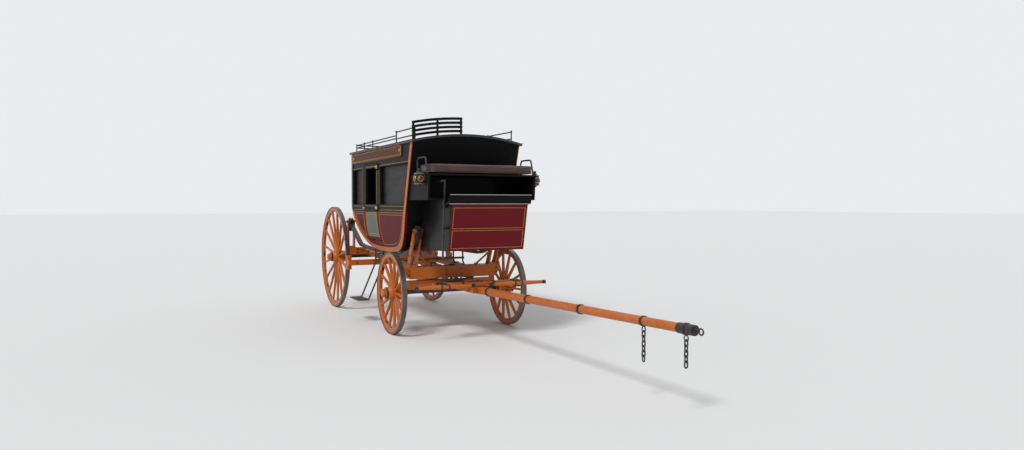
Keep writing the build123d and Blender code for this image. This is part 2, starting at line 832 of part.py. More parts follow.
crown_r, crown_z = crown_circle()
roof_face = Pos(0, crown_z) * (Circle(crown_r + roof_thick) - Circle(crown_r))
roof_face &= Pos(0, roof_edge_z + roof_crown) * Rectangle(2 * (cabin_half + roof_overhang), 4 * roof_crown)
roof = extrude(Plane.YZ * roof_face, amount=wheelbase + 600, both=True)
roof_ends = [
    (cabin_rear_x - roof_end_overhang, 2200),
    (front_x(2200) + roof_end_overhang, 2200),
    (front_x(2600) + roof_end_overhang, 2600),
    (cabin_rear_x - roof_end_overhang, 2600),
]
roof &= side_plate(roof_ends, -cabin_half - 100, cabin_half + 100)
keep("roof", roof)

# Doors

door_cut_face = slab(
    door_rear_x + door_swing_gap,
    door_front_x - door_gap,
    0,
    cabin_half + 50,
    door_bottom_z + door_gap,
    door_top_z - door_gap,
)
door_window = slab(
    door_rear_x + door_stile,
    door_front_x - door_stile,
    0,
    cabin_half + 50,
    window_sill_z,
    window_top_z,
)
left_door = side & door_cut_face
left_door -= door_window
keep("door_left", left_door)
keep("door_right", mirrored(left_door))

# Name boards, corner posts and sills

board_top_z = roof_edge_z - roof_thick - 2 * roof_overhang * roof_crown / cabin_half - seat_gap
board = slab(
    cabin_rear_x + post_width,
    name_board_front_x,
    cabin_half + seat_gap,
    cabin_half + seat_gap + name_board_thick,
    board_top_z - name_board_depth,
    board_top_z - 4,
)
keep("name_boards", *both_sides(board))
band = (outline_prism(0) - outline_prism(-post_width)) & (section_prism(post_proud) - section_prism(seat_gap))
band &= left_half
post_block = slab(belly_front_x + seat_gap, cabin_front_x + 100, 0, cabin_half + 60, 0, board_top_z)
front_post = band & post_block
rear_post = band & slab(-wheelbase, belly_rear_x - seat_gap, 0, cabin_half + 60, 0, board_top_z)
sill = band & slab(belly_rear_x, belly_front_x, 0, cabin_half + 60, 0, belt_z)
keep("front_posts", *both_sides(front_post))
keep("rear_posts", *both_sides(rear_post))
keep("sills", *both_sides(sill))

# Curtains behind the quarter windows

curtain_y = cabin_half - wall - seat_gap
rear_curtain = slab(
    cabin_rear_x + window_margin - curtain_lap,
    door_rear_x - quarter_post + curtain_lap,
    curtain_y - curtain_thick,
    curtain_y,
    window_sill_z - curtain_lap,
    window_top_z + curtain_lap,
)
front_curtain = side_plate(
    [
        (door_front_x + quarter_post - curtain_lap, window_sill_z - curtain_lap),
        (front_window_sill_x + curtain_lap, window_sill_z - curtain_lap),
        (front_window_x + curtain_lap, window_top_z + curtain_lap),
        (door_front_x + quarter_post - curtain_lap, window_top_z + curtain_lap),
    ],
    curtain_y - curtain_thick,
    curtain_y,
)
keep("window_curtains", *both_sides(rear_curtain), *both_sides(front_curtain))

# Benches inside

room = outline_prism(-wall - seat_gap) & section_prism(-wall - 2 * seat_gap)
boards = []
cushions = []
for name, x0, x1 in benches:
    riser_x = (x0 + x1) / 2
    riser = slab(riser_x - 11, riser_x + 11, -cabin_half, cabin_half, 900, bench_top_z - bench_board)
    board_slab = slab(x0, x1, -cabin_half, cabin_half, bench_top_z - bench_board, bench_top_z)
    boards.append((board_slab + riser) & room)
    cushion = slab(x0, x1, -cabin_half, cabin_half, bench_top_z + seat_gap, bench_top_z + bench_cushion) & room
    cushions.append(cushion)
keep("benches", *boards)
keep("bench_cushions", *cushions)

# Roof rails

roof_top = crown_z + math.sqrt((crown_r + roof_thick) ** 2 - rail_y**2)
rails = []
for side in (1, -1):
    y = side * rail_y
    for x in rail_posts + (rail_front_x,):
        rise = rail_high if x < rail_posts[-1] else rail_front_high
        rails.append(rod((x, y, roof_top - 20), (x, y, roof_top + rise), rail_r))
        rails.append(Pos(x, y, roof_top + rise + rail_r) * Sphere(rail_knob_r))
    for rise in (rail_low, rail_high):
        rails.append(rod((rail_posts[0], y, roof_top + rise), (rail_posts[-1], y, roof_top + rise), rail_r))
    for rise in (rail_front_low, rail_front_high):
        rails.append(rod((rail_posts[-1], y, roof_top + rise), (rail_front_x, y, roof_top + rise), rail_r))
for rise in (rail_low, rail_high):
    rails.append(rod((rail_posts[0], -rail_y, roof_top + rise), (rail_posts[0], rail_y, roof_top + rise), rail_r))
rail = rails[0] + rails[1:]
rail -= extrude(Plane.YZ * (Pos(0, crown_z) * Circle(crown_r + roof_thick + seat_gap)), amount=wheelbase, both=True)
keep("roof_rails", rail)

# Front boot, footboard and driver's seat

throat_z = boot_top_z - footboard_rear_drop
boot_outline = [
    (belly_front_x + 40, boot_bottom_z - boot_belly_drop),
    (boot_bottom_x, boot_bottom_z),
    (boot_top_x, boot_top_z),
    (boot_throat_x, throat_z),
    (boot_throat_x, seat_base_z),
    (front_knee_x, seat_base_z),
]
boot_face = make_face(Polyline(*boot_outline, close=True))
boot_inner = offset(boot_face, amount=-boot_wall, kind=Kind.INTERSECTION)
boot = extrude(Plane.XZ * boot_face, amount=boot_half, both=True)
hollow = extrude(Plane.XZ * boot_inner, amount=boot_half - boot_wall, both=True)
boot -= hollow + Pos(0, 0, 2 * boot_wall) * hollow
boot -= outline_prism(seat_gap)
keep("front_boot", boot)
board_rear_x = boot_throat_x + seat_gap
slope = footboard_rear_drop / (boot_top_x - boot_throat_x)
nose = 6  # past the boot's front
lip_x = boot_top_x + footboard_lip_lean
footboard_outline = [
    (board_rear_x, throat_z + seat_gap * (1 + slope)),
    (boot_top_x + nose, boot_top_z + nose * slope + seat_gap),
    (lip_x, boot_top_z + footboard_lip),
    (lip_x - footboard_thick, boot_top_z + footboard_lip + 4),
    (boot_top_x + nose - footboard_thick, boot_top_z + footboard_thick),
    (board_rear_x, throat_z + footboard_thick),
]
keep("footboard", side_plate(footboard_outline, -footboard_half, footboard_half))
seat_outline = [
    (front_knee_x, seat_base_z + seat_gap),
    (seat_front_x - 25, seat_base_z + seat_gap),
    (seat_front_x, seat_top_z),
    (front_knee_x, seat_top_z),
]
seat = side_plate(seat_outline, -seat_half, seat_half)
seat -= slab(
    front_x(seat_top_z) + seat_wall,
    seat_front_x + 50,
    -seat_half + seat_wall,
    seat_half - seat_wall,
    seat_base_z + seat_wall,
    seat_top_z - seat_wall,
)
seat -= outline_prism(seat_gap)
keep("seat_box", seat)
cushion = slab(
    seat_back_x,
    seat_front_x - 10,
    -seat_half + 24,
    seat_half - 24,
    seat_top_z + seat_gap,
    seat_top_z + seat_cushion_height,
)
cushion = fillet(cushion.edges().filter_by(Axis.Z), seat_round)
keep("seat_cushion", cushion)
arm_y = seat_half - seat_arm_r + 2
arm_z = seat_top_z + seat_gap
arm_rear_x, arm_front_x = seat_arm_x
arm_points = [
    (arm_rear_x, arm_y, seat_top_z),
    (arm_rear_x, arm_y, arm_z + seat_arm_rise),
    (arm_front_x - 60, arm_y, arm_z + seat_arm_rise),
    (arm_front_x, arm_y, seat_top_z - 10),
]
arm = bent_rod(arm_points, seat_arm_r, 45)
arm &= slab(seat_back_x, seat_front_x, 0, cabin_half, arm_z, roof_edge_z)
keep("seat_arms", *both_sides(arm))

# Rear boot

boot_rear_x = cabin_rear_x - rear_boot_length
rear_boot_outline = [
    (rear_curve_x, rear_boot_bottom_z),
    (boot_rear_x + 40, rear_boot_bottom_z),
    (boot_rear_x, rear_boot_edge_z),
    (cabin_rear_x + 100, rear_boot_top_z + 50),
    (rear_curve_x, rear_boot_top_z),
]
rear_boot = side_plate(rear_boot_outline, -rear_boot_half, rear_boot_half)
taper_points = [
    (cabin_rear_x, -rear_boot_half),
    (boot_rear_x - 1, -rear_boot_half + rear_boot_taper),
    (boot_rear_x - 1, rear_boot_half - rear_boot_taper),
    (cabin_rear_x, rear_boot_half),
    (rear_curve_x + 10, rear_boot_half),
    (rear_curve_x + 10, -rear_boot_half),
]
rear_boot &= Pos(0, 0, belly_z) * extrude(make_face(Polyline(*taper_points, close=True)), amount=roof_edge_z)
rear_boot -= outline_prism(seat_gap)
rear_boot = fillet(rear_boot.edges().group_by(Axis.X)[0], 30)
keep("rear_boot", rear_boot)


# Seat back, on the roof behind the driver

outer_r = crown_r + roof_thick
band_block = slab(backrest_x - 30, backrest_x + 30, -backrest_outer_y, -backrest_inner_y, roof_edge_z - 50, roof_edge_z + 400)
frame = []
for rise in backrest_slats:
    slat_face = Pos(0, crown_z) * (Circle(outer_r + rise + slat_depth) - Circle(outer_r + rise))
    slat = extrude(Plane.YZ.offset(backrest_x - backrest_thick / 2) * slat_face, amount=backrest_thick) & band_block
    frame.append(slat)
top_rise = backrest_slats[-1] + slat_depth / 2
for y in backrest_posts:
    z = crown_z + math.sqrt(outer_r**2 - y**2)
    frame.append(rod((backrest_x, y, z - 20), (backrest_x, y, z + top_rise), backrest_post_r))
seat_back = frame[0] + frame[1:]
seat_back -= extrude(Plane.YZ * (Pos(0, crown_z) * Circle(outer_r + seat_gap)), amount=wheelbase, both=True)
keep("seat_back", seat_back)

# Lamps on the ends of the seat box

lamp_z = seat_top_z - lamp_drop
lamp_y = seat_half + lamp_off + lamp_half
lamp = Pos(lamp_x, lamp_y, lamp_z) * chamfer(Box(2 * lamp_half, 2 * lamp_half, lamp_height).edges().filter_by(Axis.Z), lamp_corner)
lamp_top = lamp_z + lamp_height / 2
for r0, r1, z0, z1 in ((48, 20, 0, 26), (15, 15, 26, 44), (24, 8, 44, 58)):  # the chimney's stages
    lamp += rod((lamp_x, lamp_y, lamp_top + z0), (lamp_x, lamp_y, lamp_top + z1), r0, r1)
lamp_base = lamp_z - lamp_height / 2
lamp += rod((lamp_x, lamp_y, lamp_base), (lamp_x, lamp_y, lamp_base - 22), 34, 16)
lamp += rod((lamp_x + lamp_half, lamp_y, lamp_z), (lamp_x + lamp_half + lamp_bezel, lamp_y, lamp_z), lamp_bezel_r)
lamp += rod((lamp_x, lamp_y + lamp_half, lamp_z), (lamp_x, lamp_y + lamp_half + lamp_bezel, lamp_z), lamp_bezel_r)
lamp += rod((lamp_x, seat_half + seat_gap, lamp_z - 30), (lamp_x, lamp_y - lamp_half + 2, lamp_z - 30), 12)
keep("lamps", *both_sides(lamp))

# Brake

rear_radius = rear_wheel["diameter"] / 2
brake_x = -wheelbase + rear_radius + brake_ahead
brake_front_x = brake_x + brake_bar / 2
perch_slope = (perch_front_z - perch_rear_z) / (perch_front_x - perch_rear_x)
brake_top_z = perch_rear_z + perch_slope * (brake_front_x - perch_rear_x) - perch_depth / 2 - seat_gap
brake_low_z = brake_top_z - brake_bar_depth
brake_half = track / 2 + brake_bar_over
brake = slab(brake_front_x - brake_bar, brake_front_x, -brake_half, brake_half, brake_low_z, brake_top_z)
shoe_front_x = brake_front_x - brake_bar + 2
for side in (1, -1):
    y = side * track / 2
    shoe = slab(
        shoe_front_x - shoe_length,
        shoe_front_x,
        y - tyre_width / 2,
        y + tyre_width / 2,
        brake_low_z - shoe_drop,
        brake_top_z + shoe_rise,
    )
    brake += shoe
brake -= Pos(-wheelbase, 0, rear_hub_z) * Cylinder(rear_radius + shoe_gap, track + 300, rotation=(90, 0, 0))
keep("brake_beam", brake)
lever_y = -footboard_half - seat_gap
lever_rod_z = lever_foot_z + 25
lever = side_plate(
    [
        (lever_foot_x - lever_width / 2, lever_foot_z),
        (lever_foot_x + lever_width / 2, lever_foot_z),
        (lever_top_x + lever_width / 2, lever_top_z),
        (lever_top_x - lever_width / 2, lever_top_z),
    ],
    lever_y - lever_thick,
    lever_y,
)
lever += rod((lever_top_x, lever_y - 50, lever_top_z - 10), (lever_top_x, lever_y, lever_top_z - 10), 14)
lever += rod((lever_foot_x, lever_y - 2, lever_rod_z), (lever_foot_x, lever_rod_y, lever_rod_z), 12)
pivot_x = lever_foot_x + (lever_top_x - lever_foot_x) * (lever_pivot_z - lever_foot_z) / (lever_top_z - lever_foot_z)
lever += rod((pivot_x, lever_y - lever_thick - 8, lever_pivot_z), (pivot_x, -boot_half - seat_gap, lever_pivot_z), 20)
rod_start = (lever_foot_x - 13, lever_rod_y, lever_rod_z)
rod_end = (brake_front_x + 1.1, lever_rod_y, (brake_low_z + brake_top_z) / 2)
keep("brake_lever", lever, rod(rod_start, rod_end, lever_rod_r))

# Steps under the doors

step_x = (door_rear_x + door_front_x) / 2
hanger_z = belly_z - belly_sag - seat_gap
step = slab(step_x - step_half, step_x + step_half, step_inner_y, step_outer_y, step_z, step_z + step_thick)
for x in (step_x - step_half + 30, step_x + step_half - 30):
    points = [
        (x, step_inner_y + 60, step_z + 8),
        (x, step_inner_y + 4, step_z + 8),
        (x, step_hanger_y, belly_z - 200),
        (x, step_hanger_y, hanger_z + 20),
    ]
    step += bent_rod(points, step_hanger_r, step_hanger_bend)
step -= outline_prism(seat_gap)
keep("door_steps", *both_sides(step))

# Door hinges and handles

irons = []
for z in hinge_heights:
    half = knuckle_half - seat_gap
    knuckle = rod((hinge_x, hinge_y, z - half), (hinge_x, hinge_y, z + half), knuckle_r)
    knuckle += slab(hinge_x - hinge_strap, hinge_x, cabin_half + seat_gap, hinge_y - knuckle_r + 1, z - 16, z + 16)
    irons.append(knuckle - rod((hinge_x, hinge_y, z - 60), (hinge_x, hinge_y, z + 60), hinge_pin_r + bore_gap))
handle_x = door_rear_x + door_swing_gap + 45
handle_z = belt_z + 40
handle = rod((handle_x, cabin_half + seat_gap, handle_z), (handle_x, cabin_half + 40, handle_z), 9)
handle += rod((handle_x - 12, cabin_half + 40, handle_z), (handle_x + 95, cabin_half + 40, handle_z), 8)
irons.append(handle)
keep("door_left_irons", *irons)
keep("door_right_irons", *[mirrored(piece) for piece in irons])

os.makedirs("parts", exist_ok=True)
for name, shape in parts.items():
    export_step(shape, f"parts/{name}.step")
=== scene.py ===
import json
import math
import random
import bpy
import bmesh
from mathutils import Matrix, Vector, noise
from mathutils.bvhtree import BVHTree

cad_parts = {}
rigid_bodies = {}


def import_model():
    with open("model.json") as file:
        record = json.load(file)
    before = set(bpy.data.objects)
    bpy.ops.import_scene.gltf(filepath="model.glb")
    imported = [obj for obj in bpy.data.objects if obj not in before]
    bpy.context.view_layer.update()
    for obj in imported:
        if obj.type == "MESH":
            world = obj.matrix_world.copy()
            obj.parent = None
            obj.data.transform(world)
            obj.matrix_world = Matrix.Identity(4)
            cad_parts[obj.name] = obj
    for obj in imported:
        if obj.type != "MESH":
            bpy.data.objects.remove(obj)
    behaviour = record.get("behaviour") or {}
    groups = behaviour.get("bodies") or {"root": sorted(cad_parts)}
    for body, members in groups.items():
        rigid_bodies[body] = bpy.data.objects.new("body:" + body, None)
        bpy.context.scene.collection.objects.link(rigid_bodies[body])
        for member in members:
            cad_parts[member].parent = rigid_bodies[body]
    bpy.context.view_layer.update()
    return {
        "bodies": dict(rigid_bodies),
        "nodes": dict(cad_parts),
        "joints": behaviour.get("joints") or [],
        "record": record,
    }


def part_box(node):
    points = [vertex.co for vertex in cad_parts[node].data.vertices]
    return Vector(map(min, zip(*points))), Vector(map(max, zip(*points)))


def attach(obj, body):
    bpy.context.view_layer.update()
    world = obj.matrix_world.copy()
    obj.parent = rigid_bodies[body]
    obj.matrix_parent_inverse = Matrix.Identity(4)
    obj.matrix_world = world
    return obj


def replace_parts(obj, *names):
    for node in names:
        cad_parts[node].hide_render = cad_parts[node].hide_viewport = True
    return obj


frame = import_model()
nodes = frame["nodes"]
ahead, leftward, upward = Vector((1, 0, 0)), Vector((0, 1, 0)), Vector((0, 0, 1))
sides = (("Left", 1), ("Right", -1))


# Places on the coach, in metres. X is measured from the front axle, as in a maker's drawing.
def middle(node):
    low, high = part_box(node)
    return (low + high) / 2


axleX = middle("front_axle").x
coach = {
    "wheelbase": axleX - middle("rear_axle").x,
    "cabinHalf": 0.700,
    "bellyHalf": 0.604,
    "bellyZ": 0.985,
    "beltZ": 1.500,
    "edgeZ": 2.350,
    "roofCrown": 0.082,
    "roofThick": 0.026,
    "rearX": -2.110,
    "doorRear": -1.460,
    "doorFront": -0.840,
    "doorBottom": 1.100,
    "doorTop": 2.148,
    "sillZ": 1.590,
    "windowTop": 2.078,
    "windowMargin": 0.092,
    "quarterPost": 0.118,
    "kneeX": 0.252,
    "kneeZ": 1.450,
    "frontX": 0.530,
    "braceY": 0.540,
    "frontStandard": {"x": 0.255, "top": 1.292},
    "rearStandardTop": 1.345,
}


def at(x, y, z):
    return Vector((x + axleX, y, z))


def bodyHalf(z):
    # the cabin's outer half width: upright above the belt and drawn in along an arc below it
    if z >= coach["beltZ"]:
        return coach["cabinHalf"]
    inset = coach["cabinHalf"] - coach["bellyHalf"]
    drop = coach["beltZ"] - coach["bellyZ"]
    radius = (inset ** 2 + drop ** 2) / (2 * inset)
    return coach["cabinHalf"] - radius + math.sqrt(radius ** 2 - (coach["beltZ"] - z) ** 2)


def frontFace(z):
    # the leaning front wall above its knee
    rise = (z - coach["kneeZ"]) / (coach["edgeZ"] - coach["kneeZ"])
    return coach["kneeX"] + rise * (coach["frontX"] - coach["kneeX"])


def roofZ(y):
    # the roof's upper face
    half, crown = coach["cabinHalf"], coach["roofCrown"]
    radius = (half ** 2 + crown ** 2) / (2 * crown)
    centre = coach["edgeZ"] - coach["roofThick"] + crown - radius
    return centre + math.sqrt((radius + coach["roofThick"]) ** 2 - y ** 2)


def spaced(low, high, count):
    # even places from low to high, both included
    return [low + (high - low) * i / (count - 1) for i in range(count)]


# Shader nodes, and the groups that several finishes share

def feed(node, inputs):
    # a socket is linked, and any other value is set
    for key, value in inputs.items():
        if isinstance(value, bpy.types.NodeSocket):
            node.id_data.links.new(value, node.inputs[key])
        else:
            node.inputs[key].default_value = value
    return node


def addNode(near, kind, inputs=None, **settings):
    # a node in the tree that near is, or belongs to
    made = near.id_data.nodes.new("ShaderNode" + kind)
    for key, value in settings.items():
        setattr(made, key, value)
    return feed(made, inputs or {})


def addMath(operation, a, b=0.0, clamp=False):
    near = a if isinstance(a, bpy.types.NodeSocket) else b
    return addNode(near, "Math", {0: a, 1: b}, operation=operation, use_clamp=clamp).outputs[0]


def addRange(value, low, high, newLow=0.0, newHigh=1.0):
    ends = {"Value": value, "From Min": low, "From Max": high, "To Min": newLow, "To Max": newHigh}
    return addNode(value, "MapRange", ends).outputs[0]


def addMix(factor, a, b):
    return addNode(factor, "Mix", {0: factor, 6: a, 7: b}, data_type="RGBA").outputs[2]


def addNoise(vector, scale, detail=3.0, roughness=0.55):
    inputs = {"Vector": vector, "Scale": scale, "Detail": detail, "Roughness": roughness}
    return addNode(vector, "TexNoise", inputs).outputs[0]


def addAxis(vector, axis):
    return addNode(vector, "SeparateXYZ", {0: vector}).outputs[axis]


def startGroup(name, outputs, **inputs):
    group = bpy.data.node_groups.new(name, "ShaderNodeTree")
    face = group.interface
    for key, value in inputs.items():
        face.new_socket(name=key, in_out="INPUT", socket_type="NodeSocketFloat").default_value = value
    for key in outputs:
        face.new_socket(name=key, in_out="OUTPUT", socket_type="NodeSocketFloat")
    entry = group.nodes.new("NodeGroupInput")
    leave = group.nodes.new("NodeGroupOutput")
    return group, entry.outputs, leave, addNode(group, "TexCoord").outputs["Object"]


def makeEdgeRub():
    # where hands, boots and brushes have rubbed the corners
    group, entry, leave, place = startGroup("Edge rub", ["Mask"], Radius=0.004, Patch=9.0, Cover=0.5)
    bevel = addNode(group, "Bevel", {"Radius": entry["Radius"]}, samples=4).outputs[0]
    normal = addNode(group, "NewGeometry").outputs["Normal"]
    dot = addNode(group, "VectorMath", {0: bevel, 1: normal}, operation="DOT_PRODUCT").outputs["Value"]
    shown = addMath("SUBTRACT", 1.0, entry["Cover"])
    patch = addRange(addNoise(place, entry["Patch"], 5.0, 0.7),
                     addMath("SUBTRACT", shown, 0.08), addMath("ADD", shown, 0.08))
    feed(leave, {"Mask": addMath("MULTIPLY", addRange(dot, 0.995, 0.86), patch, True)})
    return group


def makeRoadDust():
    # pale dust that thins out with height and lies thicker on what faces up
    group, entry, leave, place = startGroup("Road dust", ["Mask"], Top=1.0, Amount=0.4, Lying=0.2)
    fade = addRange(addAxis(place, 2), entry["Top"], 0.0)
    cloud = addRange(addNoise(place, 7.0, 6.0, 0.65), 0.35, 0.7)
    speck = addRange(addNoise(place, 90.0, 2.0, 0.6), 0.3, 0.75)
    low = addMath("MULTIPLY", fade, addMath("MULTIPLY", cloud, speck))
    low = addMath("MULTIPLY", low, entry["Amount"])
    normal = addNode(group, "NewGeometry").outputs["Normal"]
    up = addRange(addAxis(normal, 2), 0.4, 0.95)
    lying = addMath("MULTIPLY", addMath("MULTIPLY", up, cloud), entry["Lying"])
    feed(leave, {"Mask": addMath("ADD", low, lying, True)})
    return group


def makeBrushwork():
    # long faint brush marks and a little orange peel in varnish
    group, entry, leave, place = startGroup("Brushwork", ["Shade", "Height"], Stretch=12.0, Fine=160.0)
    flow = addNode(group, "Mapping", {"Vector": place, "Scale": (1.0, 6.0, 6.0)}).outputs[0]
    strokes = addNoise(flow, entry["Stretch"], 6.0, 0.6)
    peel = addMath("MULTIPLY", addNoise(place, entry["Fine"], 2.0, 0.5), 0.35)
    feed(leave, {"Shade": strokes, "Height": addMath("ADD", strokes, peel)})
    return group


def makeHideGrain():
    # pebbled leather with fine creases
    group, entry, leave, place = startGroup("Hide grain", ["Height", "Creases"], Scale=420.0, Crease=24.0)
    pebble = addNode(group, "TexVoronoi", {"Vector": place, "Scale": entry["Scale"]}).outputs["Distance"]
    wander = addNode(group, "TexNoise", {"Vector": place, "Scale": 15.0, "Detail": 5.0}).outputs["Color"]
    bent = addNode(group, "VectorMath", {0: wander, 1: (0.09, 0.09, 0.09), 2: place},
                   operation="MULTIPLY_ADD").outputs[0]
    crease = addNode(group, "TexVoronoi", {"Vector": bent, "Scale": entry["Crease"]},
                     feature="DISTANCE_TO_EDGE").outputs["Distance"]
    patch = addRange(addNoise(place, 5.0, 3.0), 0.45, 0.62)
    creases = addMath("MULTIPLY", addRange(crease, 0.0, 0.05, 1.0, 0.0), patch)
    height = addMath("SUBTRACT", addMath("MULTIPLY", pebble, 0.4), creases)
    feed(leave, {"Height": height, "Creases": creases})
    return group


def makeForgeMarks():
    # shallow hammer marks and pits in iron
    group, entry, leave, place = startGroup("Forge marks", ["Height", "Rust"], Hammer=60.0, Pits=380.0)
    dents = addNode(group, "TexVoronoi", {"Vector": place, "Scale": entry["Hammer"]},
                    feature="SMOOTH_F1").outputs["Distance"]
    pits = addMath("MULTIPLY", addNoise(place, entry["Pits"], 2.0, 0.5), 0.3)
    rust = addRange(addNoise(place, 16.0, 8.0, 0.72), 0.54, 0.72)
    feed(leave, {"Height": addMath("ADD", dents, pits), "Rust": rust})
    return group


edgeRub = makeEdgeRub()
roadDust = makeRoadDust()
brushwork = makeBrushwork()
hideGrain = makeHideGrain()
forgeMarks = makeForgeMarks()
dustColour = (0.46, 0.38, 0.29, 1)
bareWood = (0.36, 0.20, 0.09, 1)


def useGroup(near, group, **inputs):
    made = addNode(near, "Group", node_tree=group)
    return feed(made, {key.capitalize(): value for key, value in inputs.items()}).outputs


def startMaterial(name, roughness, metallic=0.0, coat=0.0, coatRoughness=0.12, specular=0.5):
    material = bpy.data.materials.new(name)
    material.use_nodes = True
    shader = feed(material.node_tree.nodes["Principled BSDF"], {
        "Roughness": roughness, "Metallic": metallic, "Coat Weight": coat, "Coat Roughness": coatRoughness,
        "Specular IOR Level": specular})
    return material, shader, addNode(shader, "TexCoord").outputs["Object"]


def addBump(shader, height, distance, strength=1.0):
    bump = addNode(shader, "Bump", {"Height": height, "Distance": distance, "Strength": strength})
    feed(shader, {"Normal": bump.outputs[0]})


def shaded(colour, factor):
    return (colour[0] * factor, colour[1] * factor, colour[2] * factor, 1)


def addWear(shader, base, under, rub, dust, radius=0.004, creases=None):
    # rubbed corners, then road dust with its top, amount and lying share; both masks come back
    worn = useGroup(shader, edgeRub, radius=radius, cover=rub)["Mask"]
    if creases is not None:
        worn = addMath("MAXIMUM", worn, creases)
    top, amount, lying = dust
    dusty = useGroup(shader, roadDust, top=top, amount=amount, lying=lying)["Mask"]
    base = addMix(dusty, addMix(worn, base, under), dustColour)
    feed(shader, {"Base Color": base})
    return worn, dusty


def paintMaterial(name, colour, under=bareWood, rub=0.45, dust=(1.1, 0.35, 0.12), roughness=0.38, coat=0.15,
                  specular=0.18, upper=None, shadeBehind=None):
    # brushed enamel under varnish, rubbed to what lies under it at the corners
    material, shader, place = startMaterial(name, roughness, coat=coat, specular=specular)
    brush = useGroup(shader, brushwork)
    base = addMix(addRange(brush["Shade"], 0.3, 0.7), shaded(colour, 0.80), shaded(colour, 1.14))
    # behind a given length along the coach the colour is replaced by another; the boot uses this to paint shade
    if shadeBehind:
        length = addAxis(place, "X")
        base = addMix(addRange(length, shadeBehind["at"] - 0.001, shadeBehind["at"] + 0.001), shadeBehind["colour"], base)
    if upper:
        reach = addMath("ABSOLUTE", addAxis(place, upper["axis"]))
        base = addMix(addRange(reach, upper["at"] - 0.001, upper["at"] + 0.001), base, upper["colour"])
    worn, dusty = addWear(shader, base, under, rub, dust)
    dull = addMath("MAXIMUM", worn, dusty)
    feed(shader, {"Roughness": addRange(dull, 0.0, 1.0, roughness, 0.85),
                  "Coat Weight": addRange(dull, 0.0, 0.8, coat, 0.0)})
    addBump(shader, brush["Height"], 0.0006, 0.5)
    return material


def ironMaterial(name, colour, rust=0.5, roughness=0.5, rub=0.5, dust=0.5):
    material, shader, place = startMaterial(name, roughness, metallic=0.85)
    marks = useGroup(shader, forgeMarks)
    rusted = addMath("MULTIPLY", marks["Rust"], rust)
    base = addMix(rusted, colour, (0.10, 0.045, 0.022, 1))
    worn, dusty = addWear(shader, base, (0.34, 0.33, 0.32, 1), rub, (0.9, dust, 0.15), radius=0.003)
    cover = addMath("MAXIMUM", rusted, dusty)
    feed(shader, {"Metallic": addRange(cover, 0.0, 1.0, 0.85, 0.0),
                  "Roughness": addRange(cover, 0.0, 1.0, roughness, 0.9)})
    addBump(shader, marks["Height"], 0.0012, 0.35)
    return material


def leatherMaterial(name, colour, under, grain=420.0, rub=0.5, coat=0.15, specular=0.5):
    material, shader, place = startMaterial(name, 0.42, coat=coat, coatRoughness=0.25, specular=specular)
    hide = useGroup(shader, hideGrain, scale=grain)
    tone = addRange(addNoise(place, 6.0, 5.0), 0.3, 0.7)
    base = addMix(tone, shaded(colour, 0.7), shaded(colour, 1.35))
    creases = addMath("MULTIPLY", hide["Creases"], 0.28)
    worn, dusty = addWear(shader, base, under, rub, (0.9, 0.35, 0.12), radius=0.006, creases=creases)
    feed(shader, {"Roughness": addRange(worn, 0.0, 1.0, 0.42, 0.75)})
    addBump(shader, hide["Height"], 0.0009, 0.6)
    return material


def woodMaterial(name, colour, dark):
    # plain varnished boards with their grain along the coach
    material, shader, place = startMaterial(name, 0.5, coat=0.2)
    flow = addNode(shader, "Mapping", {"Vector": place, "Scale": (1, 14, 14)}).outputs[0]
    rings = addNoise(flow, 3.0, 8.0, 0.7)
    fibre = addNoise(flow, 40.0, 3.0, 0.6)
    base = addMix(addRange(rings, 0.35, 0.65), colour, dark)
    worn = useGroup(shader, edgeRub, cover=0.5)["Mask"]
    feed(shader, {"Base Color": addMix(worn, base, shaded(colour, 1.8))})
    addBump(shader, addMath("ADD", fibre, rings), 0.0008, 0.6)
    return material


def canvasMaterial(name, colour):
    # painted canvas with its weave showing through and long drag marks
    material, shader, place = startMaterial(name, 0.62, coat=0.1, coatRoughness=0.4)
    weave, cross = (addNode(shader, "TexWave", {"Vector": place, "Scale": 190.0}, bands_direction=axis).outputs["Fac"]
                    for axis in "XY")
    tone = addRange(addNoise(place, 4.0, 7.0, 0.65), 0.3, 0.7)
    base = addMix(tone, shaded(colour, 0.75), shaded(colour, 1.5))
    addWear(shader, base, (0.24, 0.21, 0.17, 1), 0.6, (0.1, 0.0, 0.14), radius=0.006)
    addBump(shader, addMath("MAXIMUM", weave, cross), 0.0005, 0.5)
    return material


def brassMaterial(name, colour, roughness, dull):
    material, shader, place = startMaterial(name, roughness, metallic=1.0)
    tarnish = addRange(addNoise(place, 30.0, 6.0, 0.7), 0.45, 0.7)
    feed(shader, {"Base Color": addMix(tarnish, colour, dull),
                  "Roughness": addRange(tarnish, 0.0, 1.0, roughness, roughness + 0.3)})
    addBump(shader, addNoise(place, 300.0), 0.0003, 0.4)
    return material


def glassMaterial(name, colour):
    material, shader, place = startMaterial(name, 0.02, specular=0.6)
    feed(shader, {"Base Color": colour, "Transmission Weight": 0.85})
    addBump(shader, addNoise(place, 60.0, 2.0), 0.0004, 0.5)
    return material


